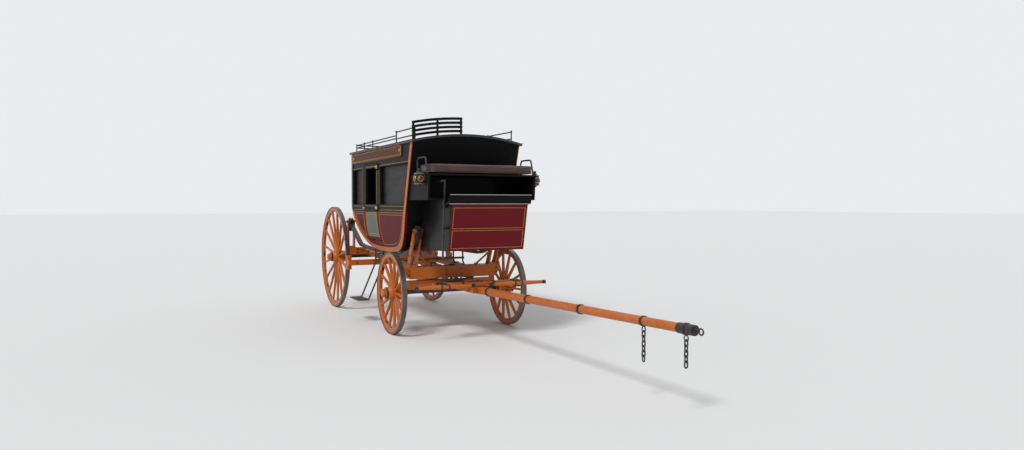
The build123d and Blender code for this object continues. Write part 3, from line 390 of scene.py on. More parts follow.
amberColour = (0.50, 0.118, 0.009, 1)
redColour = (0.110, 0.006, 0.010, 1)
blackColour = (0.010, 0.009, 0.010, 1)
doorGreen = (0.070, 0.100, 0.080, 1)
redUnder = (0.05, 0.02, 0.015, 1)
deepPaint = {"coat": 0.03, "specular": 0.03}
aboveBelt = {"axis": 2, "at": coach["beltZ"], "colour": blackColour}
paints = {
    "amber_paint": paintMaterial("Amber running gear", amberColour, rub=0.42, dust=(1.2, 0.4, 0.12)),
    "red_paint": paintMaterial("Red body", redColour, redUnder, 0.35, (1.3, 0.08, 0.12), 0.36, upper=aboveBelt,
                               **deepPaint),
    "dark_paint": paintMaterial("Black body", blackColour, (0.10, 0.06, 0.04, 1), 0.3, (1.1, 0.06, 0.06), **deepPaint),
    "board_paint": paintMaterial("Name board", (0.085, 0.030, 0.012, 1), rub=0.3, dust=(1.1, 0.0, 0.12), **deepPaint),
    "iron": ironMaterial("Forged iron", (0.045, 0.044, 0.046, 1)),
    "tyre_iron": ironMaterial("Tyre iron", (0.12, 0.11, 0.10, 1), rust=0.8, roughness=0.38, rub=0.6, dust=0.6),
    "leather": leatherMaterial("Harness leather", (0.014, 0.011, 0.010, 1), (0.045, 0.030, 0.022, 1)),
    "seat_leather": leatherMaterial("Bench leather", (0.045, 0.016, 0.011, 1), (0.12, 0.055, 0.035, 1), 300.0),
    "inner_wood": woodMaterial("Inner wood", (0.22, 0.10, 0.04, 1), (0.10, 0.04, 0.015, 1)),
    "canvas": canvasMaterial("Roof canvas", (0.028, 0.025, 0.023, 1)),
    "brass": brassMaterial("Aged brass", (0.62, 0.40, 0.13, 1), 0.28, (0.22, 0.13, 0.05, 1)),
}
# the boot's sides are black leather; behind its front face the boot is painted black, which on its inside and rear top
# edge is painted shade
bootPaint = paintMaterial("Boot red", (0.140, 0.007, 0.012, 1), redUnder, 0.3, (1.1, 0.08, 0.12), 0.34, 0.07, 0.09,
                          upper={"axis": 1, "at": 0.4765, "colour": blackColour},
                          shadeBehind={"at": axleX + 1.030, "colour": blackColour})
postPaint = paintMaterial("Rear post", amberColour, rub=0.4, dust=(1.3, 0.3, 0.12), upper=aboveBelt)
goldPaint = paintMaterial("Gold line", (0.60, 0.31, 0.06, 1), (0.2, 0.1, 0.04, 1), 0.2, (1.1, 0.1, 0.12), 0.4, 0.2)
stripePaint = paintMaterial("Stripe", (0.020, 0.006, 0.004, 1), rub=0.1, dust=(1.1, 0.2, 0.12), roughness=0.4, coat=0.2)
fieldPaint = paintMaterial("Door field", doorGreen, (0.05, 0.03, 0.02, 1), 0.2, (1.1, 0.1, 0.12), 0.4, 0.1)
paleSteel = ironMaterial("Worn steel", (0.42, 0.41, 0.40, 1), rust=0.25, roughness=0.35, dust=0.0)
curtainLeather = leatherMaterial("Curtain leather", (0.010, 0.009, 0.009, 1), (0.026, 0.020, 0.017, 1), 260.0,
                                 rub=0.3, coat=0.06, specular=0.12)
strapLeather = leatherMaterial("Strap leather", (0.060, 0.030, 0.016, 1), (0.14, 0.08, 0.045, 1), 500.0)
lampGlass = glassMaterial("Lamp glass", (0.72, 0.13, 0.12, 1))
print("materials made:", len(bpy.data.materials))

slotOf = {part["node"]: part["material_slot"] for part in frame["record"]["subparts"]}
ownPaint = {"front_boot": bootPaint, "rear_posts": postPaint, "lamps": paints["iron"]}
for name, thing in nodes.items():
    material = ownPaint.get(name, paints[slotOf[name]])
    if thing.material_slots:
        for held in thing.material_slots:
            held.material = material
    else:
        thing.data.materials.append(material)


# Tools for new pieces

def meshFrom(form, name):
    bmesh.ops.recalc_face_normals(form, faces=form.faces)
    mesh = bpy.data.meshes.new(name)
    form.to_mesh(mesh)
    form.free()
    return mesh


def weld(form, reach=1e-6):
    bmesh.ops.remove_doubles(form, verts=form.verts, dist=reach)


def addPiece(name, shape, slot, body="coach", material=None, sharp=35):
    # a new piece from a form or a mesh, in its slot's finish unless another is given
    mesh = meshFrom(shape, name) if isinstance(shape, bmesh.types.BMesh) else shape
    thing = bpy.data.objects.new(name, mesh)
    bpy.context.scene.collection.objects.link(thing)
    mesh.materials.append(material or paints[slot])
    mesh.shade_smooth()
    mesh.set_sharp_from_angle(angle=math.radians(sharp))
    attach(thing, body)
    return thing


def addBar(form, start, end, width, depth, up=upward):
    # a straight bar of rectangular section between two points, with eased edges; width lies across up
    run = end - start
    along = run.normalized()
    side = up.cross(along)
    side = side.normalized() if side.length > 1e-4 else leftward
    turn = Matrix((along, side, along.cross(side))).transposed().to_4x4()
    place = Matrix.Translation((start + end) / 2) @ turn @ Matrix.Diagonal((run.length, width, depth, 1))
    made = bmesh.ops.create_cube(form, size=1, matrix=place)
    edges = list(dict.fromkeys(edge for vert in made["verts"] for edge in vert.link_edges))
    bmesh.ops.bevel(form, geom=edges, offset=0.001, affect="EDGES", segments=2, profile=0.5, material=-1)


def addRod(form, start, end, radius, endRadius=None, sides=16):
    run = end - start
    turn = upward.rotation_difference(run).to_matrix().to_4x4()
    bmesh.ops.create_cone(form, cap_ends=True, segments=sides, radius1=radius,
                          radius2=radius if endRadius is None else endRadius, depth=run.length,
                          matrix=Matrix.Translation((start + end) / 2) @ turn)


boltKinds = {
    # radius, height and whether the head is domed
    "rivet": (0.0045, 0.003, True), "slat": (0.0055, 0.004, True), "board": (0.006, 0.004, True),
    "nave": (0.006, 0.005, False), "nut": (0.0065, 0.006, False), "clip": (0.007, 0.005, False),
    "plate": (0.008, 0.006, False), "post": (0.009, 0.006, False), "timber": (0.010, 0.007, False),
    "hound": (0.010, 0.007, True), "brake": (0.010, 0.008, False), "roller": (0.016, 0.012, False),
    "pin": (0.017, 0.014, False),
}


def addBolt(form, place, axis, kind):
    # a six-sided head on a washer, or a domed one
    radius, height, domed = boltKinds[kind]
    axis = axis.normalized()
    if domed:
        addRod(form, place, place + axis * height * 0.5, radius, radius * 0.92, sides=8)
        addRod(form, place + axis * height * 0.5, place + axis * height, radius * 0.92, radius * 0.5, sides=8)
    else:
        addRod(form, place, place + axis * 0.0015, radius * 1.35, sides=10)
        addRod(form, place + axis * 0.0015, place + axis * height, radius, sides=6)


def addSpun(form, profile, centre, axis, steps=48):
    # a closed profile of (radius, distance along the axis) points, spun round the axis
    turn = upward.rotation_difference(axis).to_matrix().to_4x4()
    verts = [form.verts.new((radius, 0, along)) for radius, along in profile]
    edges = [form.edges.new((verts[i], verts[(i + 1) % len(verts)])) for i in range(len(verts))]
    before = set(form.verts) - set(verts)
    bmesh.ops.spin(form, geom=verts + edges, cent=(0, 0, 0), axis=(0, 0, 1), angle=2 * math.pi, steps=steps,
                   use_merge=True)
    made = [vert for vert in form.verts if vert not in before]
    bmesh.ops.transform(form, matrix=Matrix.Translation(centre) @ turn, verts=made)


def beadPiece(name, lines, radius, slot, body="coach", material=None):
    # half-round moulding along lines of (points, closed)
    curve = bpy.data.curves.new(name, "CURVE")
    curve.dimensions = "3D"
    curve.bevel_depth = radius
    curve.bevel_resolution = 3
    curve.use_fill_caps = True
    for points, closed in lines:
        spline = curve.splines.new("POLY")
        spline.points.add(len(points) - 1)
        for target, point in zip(spline.points, points):
            target.co = (*point, 1)
        spline.use_cyclic_u = closed
    thing = bpy.data.objects.new(name + "Line", curve)
    bpy.context.scene.collection.objects.link(thing)
    bpy.context.view_layer.update()
    mesh = bpy.data.meshes.new_from_object(thing)
    mesh.name = name
    bpy.data.objects.remove(thing)
    mesh.materials.clear()
    return addPiece(name, mesh, slot, body, material, sharp=50)


# Straps, routes and soft goods

def roundedRoute(points, radii, turn=0.16):
    # a route in the XZ plane with its corners rounded, as points close enough for a strap
    route = [points[0]]
    for before, corner, after, radius in zip(points, points[1:], points[2:], radii):
        back = (before - corner).normalized()
        onward = (after - corner).normalized()
        half = math.acos(max(-1, min(1, back.dot(onward)))) / 2
        reach = radius / math.tan(half)
        centre = corner + (back + onward).normalized() * (radius / math.sin(half))
        sweep = math.pi - 2 * half
        side = corner + back * reach - centre
        finish = corner + onward * reach - centre
        for share in spaced(0, 1, max(2, int(sweep / turn)) + 1):
            lean = (math.sin((1 - share) * sweep) * side + math.sin(share * sweep) * finish) / math.sin(sweep)
            route.append(centre + lean)
    return route + [points[-1]]


def addStrap(form, route, side, width, thick, lift=0.0):
    # a flat strap along a route: side points across its width, and lift moves it off the route
    last = len(route) - 1
    made = bmesh.ops.create_grid(form, x_segments=last, y_segments=2, size=0.5)["verts"]
    for vert in made:
        index = round((vert.co.x + 0.5) * last)
        along = (route[min(index + 1, last)] - route[max(index - 1, 0)]).normalized()
        vert.co = route[index] + side * (vert.co.y * width) + side.cross(along).normalized() * lift
    faces = list(dict.fromkeys(face for vert in made for face in vert.link_faces))
    bmesh.ops.recalc_face_normals(form, faces=faces)
    bmesh.ops.solidify(form, geom=faces, thickness=thick)


def applyModifiers(thing):
    # the modifiers' result becomes the mesh
    view = bpy.context.view_layer
    view.update()
    mesh = bpy.data.meshes.new_from_object(thing.evaluated_get(view.depsgraph))
    thing.modifiers.clear()
    thing.data = mesh


def addModifier(thing, name, **settings):
    made = thing.modifiers.new(name, name.upper())
    for key, value in settings.items():
        setattr(made, key, value)
    return made


def stuffed(node, name, spec, held, slot):
    # leather over filling, from the space that its plain solid holds
    form = bmesh.new()
    form.from_mesh(nodes[node].data)
    weld(form, 1e-5)
    thing = addPiece(name, form, slot)
    addModifier(thing, "Remesh", mode="VOXEL", voxel_size=spec["voxel"])
    addModifier(thing, "Displace", strength=-spec["swell"], mid_level=0)
    addModifier(thing, "Smooth", factor=0.5, iterations=spec["soften"])
    applyModifiers(thing)
    start = [vert.co.copy() for vert in thing.data.vertices]
    group = thing.vertex_groups.new(name="Held")
    for index, place in enumerate(start):
        weight = held(place)
        if weight > 0:
            group.add([index], min(weight, 1.0), "REPLACE")
    cloth = addModifier(thing, "Cloth").settings
    cloth.use_pressure = True
    cloth.uniform_pressure_force = spec["pressure"]
    cloth.vertex_group_mass = "Held"
    cloth.effector_weights.gravity = 0
    cloth.quality = 4
    scene = bpy.context.scene
    for moment in range(1, 21):
        scene.frame_set(moment)
    applyModifiers(thing)
    scene.frame_set(1)
    for vert, place in zip(thing.data.vertices, start):
        move = vert.co - place
        if move.length > spec["cap"]:
            vert.co = place + move.normalized() * spec["cap"]
    thing.vertex_groups.clear()
    mesh = thing.data
    mesh.materials.clear()
    mesh.materials.append(paints[slot])
    mesh.shade_smooth()
    rounder = thing.modifiers.new("Subdivision", "SUBSURF")
    rounder.levels = rounder.render_levels = 1
    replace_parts(thing, node)
    return thing


def surfaceTree(thing):
    bpy.context.view_layer.update()
    return BVHTree.FromObject(thing, bpy.context.evaluated_depsgraph_get())


def dropOn(tree, place, direction, lift=0.0):
    # the first point of a surface along a line, lifted off it a little
    hit = tree.ray_cast(place, direction)[0]
    return None if hit is None else hit - direction.normalized() * lift


def addBoltOn(form, tree, place, axis, kind):
    # a bolt where the line along its axis meets the timber
    start = place + axis * 0.05
    found = dropOn(tree, start, -axis)
    if found is not None and (found - start).length < 0.10:
        addBolt(form, found, axis, kind)


driverCushion = {
    "voxel": 0.010, "swell": 0.012, "soften": 4, "pressure": 4.0, "cap": 0.016, "fill": 0.8, "buttonsAcross": 8,
    "buttonRows": 2, "buttonR": 0.011, "tieR": 0.016, "tuft": 0.016, "tuftR": 0.022, "pipingR": 0.0045,
    "pipingInset": (0.016, 0.014), "pipingStep": 0.03,
}


def makeDriverCushion():
    spec = driverCushion
    low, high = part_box("seat_cushion")
    rows, across = ([start + (i + 0.5) * (end - start) / count for i in range(count)] for start, end, count in (
        (low.x, high.x, spec["buttonRows"]), (low.y, high.y, spec["buttonsAcross"])))
    spots = [(x, y) for x in rows for y in across]

    def fromButton(place):
        return min(math.hypot(place.x - x, place.y - y) for x, y in spots)

    def held(place):
        if place.z < low.z + 0.02:
            return 1.0
        return max(0.0, 1.2 - fromButton(place) / spec["tieR"]) if place.z > high.z - 0.03 else 0.0

    cushion = stuffed("seat_cushion", "driverCushion", spec, held, "seat_leather")
    for vert in cushion.data.vertices:
        if vert.co.z > high.z - 0.04:
            vert.co.z -= spec["tuft"] * math.exp(-((fromButton(vert.co) / spec["tuftR"]) ** 2))
    tree = surfaceTree(cushion)
    form = bmesh.new()
    button = [(0.0, -0.001), (spec["buttonR"], -0.001), (spec["buttonR"] * 0.9, 0.003), (0.0, 0.005)]
    for x, y in spots:
        place = dropOn(tree, Vector((x, y, high.z + 0.1)), -upward)
        if place:
            addSpun(form, button, place, upward, steps=16)
    weld(form)
    addPiece("cushionButtons", form, "seat_leather")
    lines = []
    centre = (low + high) / 2
    upper, lower = spec["pipingInset"]
    for level in (high.z - upper, low.z + lower):
        corners = [Vector((*corner, level)) for corner in rectangle(low.x, high.x, low.y, high.y)]
        loop = []
        for corner, after in zip(corners, corners[1:] + corners[:1]):
            count = max(6, int((after - corner).length / spec["pipingStep"]))
            for k in range(count):
                place = corner.lerp(after, k / count)
                outward = Vector((place.x - centre.x, place.y - centre.y, 0)).normalized()
                loop.append(tree.find_nearest(Vector((place.x, place.y, level)) + outward * 0.06)[0])
        lines.append((loop, True))
    beadPiece("cushionPiping", lines, spec["pipingR"], "seat_leather")


benchPads = {
    "voxel": 0.014, "swell": 0.012, "soften": 4, "pressure": 4.0, "cap": 0.014, "fill": 0.7, "channels": 9,
    "tieR": 0.014, "seamDepth": 0.010, "seamR": 0.012,
}


def makeBenchPads():
    spec = benchPads
    low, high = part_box("bench_cushions")
    step = (high.y - low.y) / spec["channels"]

    def fromSeam(place):
        share = ((place.y - low.y) / step) % 1.0
        return min(share, 1 - share) * step

    def held(place):
        if place.z < low.z + 0.02:
            return 1.0
        return max(0.0, 1.0 - fromSeam(place) / spec["tieR"]) if place.z > high.z - 0.03 else 0.0

    pads = stuffed("bench_cushions", "benchPads", spec, held, "seat_leather")
    for vert in pads.data.vertices:
        if vert.co.z > high.z - 0.045:
            vert.co.z -= spec["seamDepth"] * math.exp(-((fromSeam(vert.co) / spec["seamR"]) ** 2))


leatherBoot = {
    "voxel": 0.016, "swell": 0.010, "soften": 6, "pressure": 3.0, "cap": 0.012, "fill": 0.9, "reach": 0.47,
    "straps": (-0.30, 0.0, 0.30), "strapWidth": 0.042, "strapThick": 0.004, "buckleHalf": 0.024,
    "buckleWire": 0.006, "tieR": 0.03, "slackR": 0.12, "foldDepth": 0.004,
}


def makeLeatherBoot():
    spec = leatherBoot
    low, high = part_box("rear_boot")

    def fromStrap(place):
        return min(abs(place.y - y) for y in spec["straps"])

    def held(place):
        return 1.0 if place.x > low.x + spec["reach"] else max(0.0, 1.0 - fromStrap(place) / spec["tieR"])

    cover = stuffed("rear_boot", "leatherBoot", spec, held, "leather")
    for vert in cover.data.vertices:
        # slack hide sags in long folds between the straps
        fade = min(max((low.x + spec["reach"] - vert.co.x) / 0.1, 0), 1)
        slack = min(fromStrap(vert.co) / spec["slackR"], 1.0) * fade
        fold = math.sin(vert.co.z * 31 + 4 * noise.noise(vert.co * 2.3)) * spec["foldDepth"]
        vert.co += Vector((-1, 0, 0.4)).normalized() * fold * slack
    tree = surfaceTree(cover)
    form, buckles = bmesh.new(), bmesh.new()
    long, wire = spec["buckleHalf"], spec["buckleWire"]
    wide = spec["strapWidth"] / 2
    for y in spec["straps"]:
        centre = Vector((low.x + 0.25, y, (low.z + high.z) / 2 - 0.05))
        route = []
        for i in range(40):
            angle = math.radians(62 + i * 200 / 39)
            direction = Vector((math.cos(angle), 0, math.sin(angle)))
            hit = dropOn(tree, centre + direction * 1.2, -direction, lift=0.001)
            if hit and hit.x < low.x + 0.49:
                route.append(hit)
        addStrap(form, route, leftward, spec["strapWidth"], spec["strapThick"])
        here = min(route, key=lambda place: abs(place.z - (low.z + 0.24)) + abs(place.x - low.x))
        for side in (-1, 1):
            across = side * (wide + 0.003)
            addBar(buckles, here + Vector((-0.008, across, -long)), here + Vector((-0.008, across, long)), wire, wire,
                   up=ahead)
        for z in (-long, 0, long):
            addBar(buckles, here + Vector((-0.008, -wide - 0.006, z)), here + Vector((-0.008, wide + 0.006, z)), wire,
                   wire)
    addPiece("bootStraps", form, "leather", material=strapLeather)
    addPiece("bootBuckles", buckles, "brass")


curtains = {
    "lap": 0.020, "middleY": 0.6635, "thick": 0.0018, "fold": 0.0022,
}


def makeCurtains():
    spec = curtains
    low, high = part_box("window_curtains")
    tall = high.z - low.z
    slope = (coach["frontX"] - coach["kneeX"]) / (coach["edgeZ"] - coach["kneeZ"])
    ends = {
        "Rear": (7.7, coach["rearX"] + coach["windowMargin"] - spec["lap"],
                 lambda z: coach["doorRear"] - coach["quarterPost"] + spec["lap"]),
        "Front": (1.9, coach["doorFront"] + coach["quarterPost"] - spec["lap"],
                  lambda z: frontFace(coach["sillZ"]) - coach["windowMargin"] + spec["lap"]
                  + slope * (z - coach["sillZ"]) * (coach["windowTop"] - coach["sillZ"]) / tall),
    }
    made = []
    for sideName, side in sides:
        for name, (seed, start, finish) in ends.items():
            form = bmesh.new()
            seed = Vector((3.1 * side, seed, 0))
            for vert in bmesh.ops.create_grid(form, x_segments=48, y_segments=48, size=0.5)["verts"]:
                share, rise = vert.co.x + 0.5, vert.co.y + 0.5
                z = low.z + rise * tall
                x = start + share * (finish(z) - start)
                wave = math.sin(z * 62 + 3.0 * noise.noise(Vector((x * 1.3, z * 2.0, 0)) + seed))
                sag = noise.noise(Vector((x * 3, z * 9, 1.5)) + seed)
                y = spec["middleY"] + spec["fold"] * min(1.0, 8 * (1 - rise)) * (wave * 0.7 + sag * 0.8)
                vert.co = at(x, side * y, z)
            bmesh.ops.solidify(form, geom=form.faces, thickness=spec["thick"])
            thing = addPiece("curtain" + name + sideName, form, "leather", material=curtainLeather)
            width = max(finish(low.z), finish(high.z)) - start
            area = (finish(low.z) + finish(high.z) - 2 * start) / 2 * tall
            made.append(thing)
    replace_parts(made[0], "window_curtains")


braces = {
    "width": 0.060, "depth": 0.034, "layers": 7, "rollerR": 0.022, "gap": 0.0003, "standardTop": 0.054,
    "bellySag": 0.022, "clips": (0.14, 0.30, 0.45, 0.60, 0.74, 0.86), "clipWidth": 0.022, "clipThick": 0.004,
}


def braceRoute(side):
    # round the rear roller, under the belly and over the front roller
    spec = braces
    wrap = spec["rollerR"] + spec["gap"] + spec["depth"] / 2
    belly = coach["bellyZ"] - spec["bellySag"] - spec["gap"] - spec["depth"] / 2 - 0.001
    rear, front = -coach["wheelbase"], coach["frontStandard"]["x"]
    rearZ = coach["rearStandardTop"] - spec["standardTop"] / 2
    frontZ = coach["frontStandard"]["top"] - spec["standardTop"] / 2
    corners = [
        (rear - wrap, rearZ - 0.150), (rear - wrap, rearZ + wrap), (rear + wrap, rearZ + wrap),
        (rear + wrap + 0.010, rearZ - 0.060), (rear + 0.560, rearZ - 0.330), (-1.510, belly), (-0.280, belly),
        (0.085, belly + 0.096), (front - wrap, frontZ - 0.060), (front - wrap, frontZ + wrap),
        (front + wrap, frontZ + wrap), (front + wrap, frontZ - 0.100),
    ]
    radii = [wrap - 0.001, wrap - 0.002, 0.050, 0.350, 0.900, 0.600, 0.300, 0.080, wrap - 0.001, wrap - 0.001]
    return roundedRoute([at(x, side * coach["braceY"], z) for x, z in corners], radii)


def makeBraces():
    spec = braces
    chance = random.Random(7)
    form, clips = bmesh.new(), bmesh.new()
    step = spec["depth"] / spec["layers"]
    for side in (1, -1):
        route = braceRoute(side)
        for layer in range(spec["layers"]):
            lift = -spec["depth"] / 2 + step * (layer + 0.5)
            width = spec["width"] - chance.uniform(0.0, 0.004)
            addStrap(form, route, leftward, width, step * 0.86, lift=lift + step * 0.43)
        for share in spec["clips"]:
            index = int(share * (len(route) - 1))
            here = route[index]
            out = leftward.cross((route[index + 1] - here).normalized()).normalized()
            away = out * (spec["depth"] / 2 + 0.003)
            across = Vector((0, spec["width"] / 2 + 0.003, 0))
            for sign in (-1, 1):
                for shift, run, up in ((away, across, out), (across, away, leftward)):
                    addBar(clips, here + shift * sign - run, here + shift * sign + run, spec["clipWidth"],
                           spec["clipThick"], up=up)
    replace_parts(addPiece("braceLeathers", form, "leather"), "thoroughbraces")
    addPiece("braceClips", clips, "iron")


# Lines and mouldings on the body

def circleThrough(a, b, c):
    spread = 2 * (a.x * (b.y - c.y) + b.x * (c.y - a.y) + c.x * (a.y - b.y))
    x = (a.length_squared * (b.y - c.y) + b.length_squared * (c.y - a.y) + c.length_squared * (a.y - b.y)) / spread
    y = (a.length_squared * (c.x - b.x) + b.length_squared * (a.x - c.x) + c.length_squared * (b.x - a.x)) / spread
    centre = Vector((x, y))
    return centre, (a - centre).length


def bodyEdge():
    # the cabin's outline seen from the side, from the rear roof edge under the belly to the front one
    rearKnee, frontKnee = Vector((coach["rearX"], 1.550)), Vector((coach["kneeX"], coach["kneeZ"]))
    bellyRear, bellyFront = Vector((-1.350, coach["bellyZ"])), Vector((-0.340, coach["bellyZ"]))
    bellyMiddle = Vector((-0.845, coach["bellyZ"] - 0.022))
    frontTop = Vector((coach["frontX"], coach["edgeZ"]))
    lean = frontTop - frontKnee
    inward = Vector((-lean.y, lean.x)).normalized()
    drop = bellyFront - frontKnee
    frontR = drop.length_squared / (2 * drop.dot(inward))
    arcs = (
        (*circleThrough(rearKnee, Vector((-1.800, 1.200)), bellyRear), rearKnee, bellyRear),
        (*circleThrough(bellyRear, bellyMiddle, bellyFront), bellyRear, bellyFront),
        (frontKnee + inward * frontR, frontR, bellyFront, frontKnee),
    )
    edge = [Vector((coach["rearX"], coach["edgeZ"] - i * 0.04)) for i in range(20)]
    for centre, radius, start, finish in arcs:
        first = math.atan2(start.y - centre.y, start.x - centre.x)
        turn = math.atan2(finish.y - centre.y, finish.x - centre.x) - first
        turn = (turn + math.pi) % (2 * math.pi) - math.pi
        steps = int(abs(turn) * radius / 0.02)
        edge += [centre + radius * Vector((math.cos(first + turn * i / steps), math.sin(first + turn * i / steps)))
                 for i in range(steps + 1)]
    return edge + [frontKnee.lerp(frontTop, i / 24) for i in range(1, 25)]


def insetEdge(inset):
    edge = bodyEdge()
    kept = []
    for before, here, after in zip(edge, edge[1:], edge[2:]):
        run = after - before
        if run.length < 1e-6:
            continue
        place = here + Vector((-run.y, run.x)).normalized() * inset
        if min((place - other).length for other in edge) > inset * 0.985:
            kept.append(place)
    return kept


def onSide(x, z, side, lift):
    return at(x, side * (bodyHalf(z) + lift), z)


def sidePath(points, side, lift, closed=True, step=0.04):
    # a line of moulding on a side, with points close enough to follow the body's curve
    points = [Vector(point) for point in points]
    path = []
    for a, b in zip(points, points[1:] + points[:1] if closed else points[1:]):
        count = max(1, int((b - a).length / step))
        path += [a.lerp(b, i / count) for i in range(count)]
    if not closed:
        path.append(points[-1])
    return [onSide(place.x, place.y, side, lift) for place in path], closed


def rectangle(x0, x1, z0, z1):
    return [(x0, z0), (x1, z0), (x1, z1), (x0, z1)]


def grown(points, by):
    centre = sum((Vector(point) for point in points), Vector((0, 0))) / len(points)
    return [(x + math.copysign(by, x - centre.x), z + math.copysign(by, z - centre.y)) for x, z in points]


bodyLines = {
    "beltR": 0.0065, "goldR": 0.0024, "fineR": 0.0016, "frameR": 0.0075, "panelInset": 0.096, "panelTop": 0.045,
    "doorGap": 0.045, "beltGold": 0.016, "beltEnds": (0.064, 0.006, 0.024, 0.066), "frameGrow": 0.008,
    "goldGrow": 0.024, "lift": 0.001, "fineLift": 0.0005, "rearPanel": (0.610, 1.735, 2.262), "rearInset": 0.014,
}


def quarterPanel(low, high):
    # the lower panel between the belt, a door's edge and the curved sill
    top = coach["beltZ"] - bodyLines["panelTop"]
    inside = [place for place in insetEdge(bodyLines["panelInset"]) if place.y < top and low < place.x < high]
    if high < coach["doorFront"]:
        return [tuple(place) for place in inside] + [(high, inside[-1].y), (high, top), (inside[0].x, top)]
    return [(low, top), (low, inside[0].y)] + [tuple(place) for place in inside] + [(inside[-1].x, top)]


def makeBodyLines():
    spec = bodyLines
    rear, front, post = coach["doorRear"], coach["doorFront"], coach["quarterPost"]
    sill, top, margin, belt = coach["sillZ"], coach["windowTop"], coach["windowMargin"], coach["beltZ"]
    panels = [quarterPanel(-2.2, rear - spec["doorGap"]), quarterPanel(front + spec["doorGap"], 1.0)]
    windows = (rectangle(coach["rearX"] + margin, rear - post, sill, top),
               [(front + post, sill), (frontFace(sill) - margin, sill), (frontFace(top) - margin, top),
                (front + post, top)])
    lift, fineLift, (a, b, c, d) = spec["lift"], spec["fineLift"], spec["beltEnds"]
    for sideName, side in sides:
        gold = [sidePath(panel, side, lift) for panel in panels]
        belts, frames = [], []
        for x0, x1 in ((coach["rearX"] + a, rear - b), (front + c, frontFace(belt) - d)):
            for rise, lines in ((0.0, belts), (spec["beltGold"], gold), (-spec["beltGold"], gold)):
                z = belt + rise
                lines.append(sidePath([(x0, z), (x1, z)], side, lift, closed=False))
        for window in windows:
            frames.append(sidePath(grown(window, spec["frameGrow"]), side, lift))
            gold.append(sidePath(grown(window, spec["goldGrow"]), side, fineLift))
        beadPiece("goldLines" + sideName, gold, spec["goldR"], "brass", material=goldPaint)
        beadPiece("beltMoulding" + sideName, belts, spec["beltR"], "dark_paint")
        beadPiece("windowMoulding" + sideName, frames, spec["frameR"], "dark_paint")
        makeDoorTrim(sideName, side)
        makeDoorStops(sideName, side)
    y, low, high = spec["rearPanel"]
    lines = [([at(coach["rearX"] - 0.0008, *corner)
               for corner in rectangle(-y + inset, y - inset, low + inset, high - inset)], True)
             for inset in (0.0, spec["rearInset"])]
    beadPiece("rearPanelLines", lines, spec["fineR"], "brass", material=goldPaint)


doorTrim = {
    "beltRun": (-1.436, -0.862), "frame": (-1.382, -0.918), "panelX": (-1.372, -0.928),
    "panelZ": (1.185, 1.452), "goldGrow": 0.022, "fieldInset": 0.030, "fieldThick": 0.002,
}


def makeDoorTrim(sideName, side):
    spec = doorTrim
    body = "door_" + sideName.lower()
    belt = [(x, coach["beltZ"]) for x in spec["beltRun"]]
    window = rectangle(*spec["frame"], coach["sillZ"], coach["windowTop"])
    panel = rectangle(*spec["panelX"], *spec["panelZ"])
    inner = grown(panel, -spec["fieldInset"])
    lift, frame = bodyLines["lift"], grown(window, bodyLines["frameGrow"])
    gold = [sidePath(grown(window, spec["goldGrow"]), side, bodyLines["fineLift"]), sidePath(panel, side, lift),
            sidePath(inner, side, 0.003)]
    beadPiece("doorGold" + sideName, gold, bodyLines["goldR"], "brass", body, goldPaint)
    for name, line, radius in (("doorBelt", sidePath(belt, side, lift, closed=False), bodyLines["beltR"]),
                               ("doorFrame", sidePath(frame, side, lift), bodyLines["frameR"])):
        beadPiece(name + sideName, [line], radius, "dark_paint", body)
    form = bmesh.new()
    for vert in bmesh.ops.create_grid(form, x_segments=2, y_segments=12, size=0.5)["verts"]:
        x = inner[0][0] + (vert.co.x + 0.5) * (inner[1][0] - inner[0][0])
        z = inner[0][1] + (vert.co.y + 0.5) * (inner[2][1] - inner[0][1])
        vert.co = onSide(x, z, side, 0.0006)
    bmesh.ops.recalc_face_normals(form, faces=form.faces)
    bmesh.ops.solidify(form, geom=form.faces, thickness=side * spec["fieldThick"])
    addPiece("doorField" + sideName, form, "red_paint", body, fieldPaint)


doorStops = {
    "x": (-1.472, -0.832), "z": (1.086, 2.162), "rearWidth": 0.034, "frontWidth": 0.025, "topWidth": 0.031,
    "packing": (-0.029, -0.0345), "depth": (-0.0342, -0.0442),
}


def addSideBar(form, across, up, depths, side, cuts=12):
    # a bar that follows the body's side between two depths
    bar = bmesh.new()
    bmesh.ops.create_cube(bar, size=1)
    upright = [edge for edge in bar.edges if abs(edge.verts[0].co.z - edge.verts[1].co.z) > 0.5]
    bmesh.ops.subdivide_edges(bar, edges=upright, cuts=cuts, use_grid_fill=True)
    for vert in bar.verts:
        x, depth, z = (low + (share + 0.5) * (high - low) for (low, high), share in zip((across, depths, up), vert.co))
        vert.co = onSide(x, z, side, depth)
    mesh = meshFrom(bar, "bar")
    form.from_mesh(mesh)
    bpy.data.meshes.remove(mesh)


def makeDoorStops(sideName, side):
    # strips inside the doorway that the door shuts towards, a few millimetres clear of it
    spec = doorStops
    form = bmesh.new()
    (x0, x1), (z0, z1) = spec["x"], spec["z"]
    runs = (((x0, x0 + spec["rearWidth"]), (z0, z1), (x0, coach["doorRear"] - 0.001), (z0, z1)),
            ((x1 - spec["frontWidth"], x1), (z0, z1), (coach["doorFront"] + 0.001, x1), (z0, z1)),
            ((x0, x1), (z1 - spec["topWidth"], z1), (x0, x1), (coach["doorTop"] + 0.001, z1)),
            ((x0, x1), (z0, z0 + spec["topWidth"]), (x0, x1), (z0, coach["doorBottom"] - 0.001)))
    for across, up, packAcross, packUp in runs:
        addSideBar(form, across, up, spec["depth"], side)
        addSideBar(form, packAcross, packUp, spec["packing"], side)
    addPiece("doorStops" + sideName, form, "dark_paint")


nameBoards = {
    "x": (-2.048, 0.140), "y": 0.7123, "z": (2.177, 2.323), "insets": (0.014, 0.025), "rosetteInset": 0.07,
    "rosette": ((0.0, -0.001), (0.020, -0.001), (0.018, 0.003), (0.010, 0.003), (0.006, 0.007), (0.0, 0.008)),
}


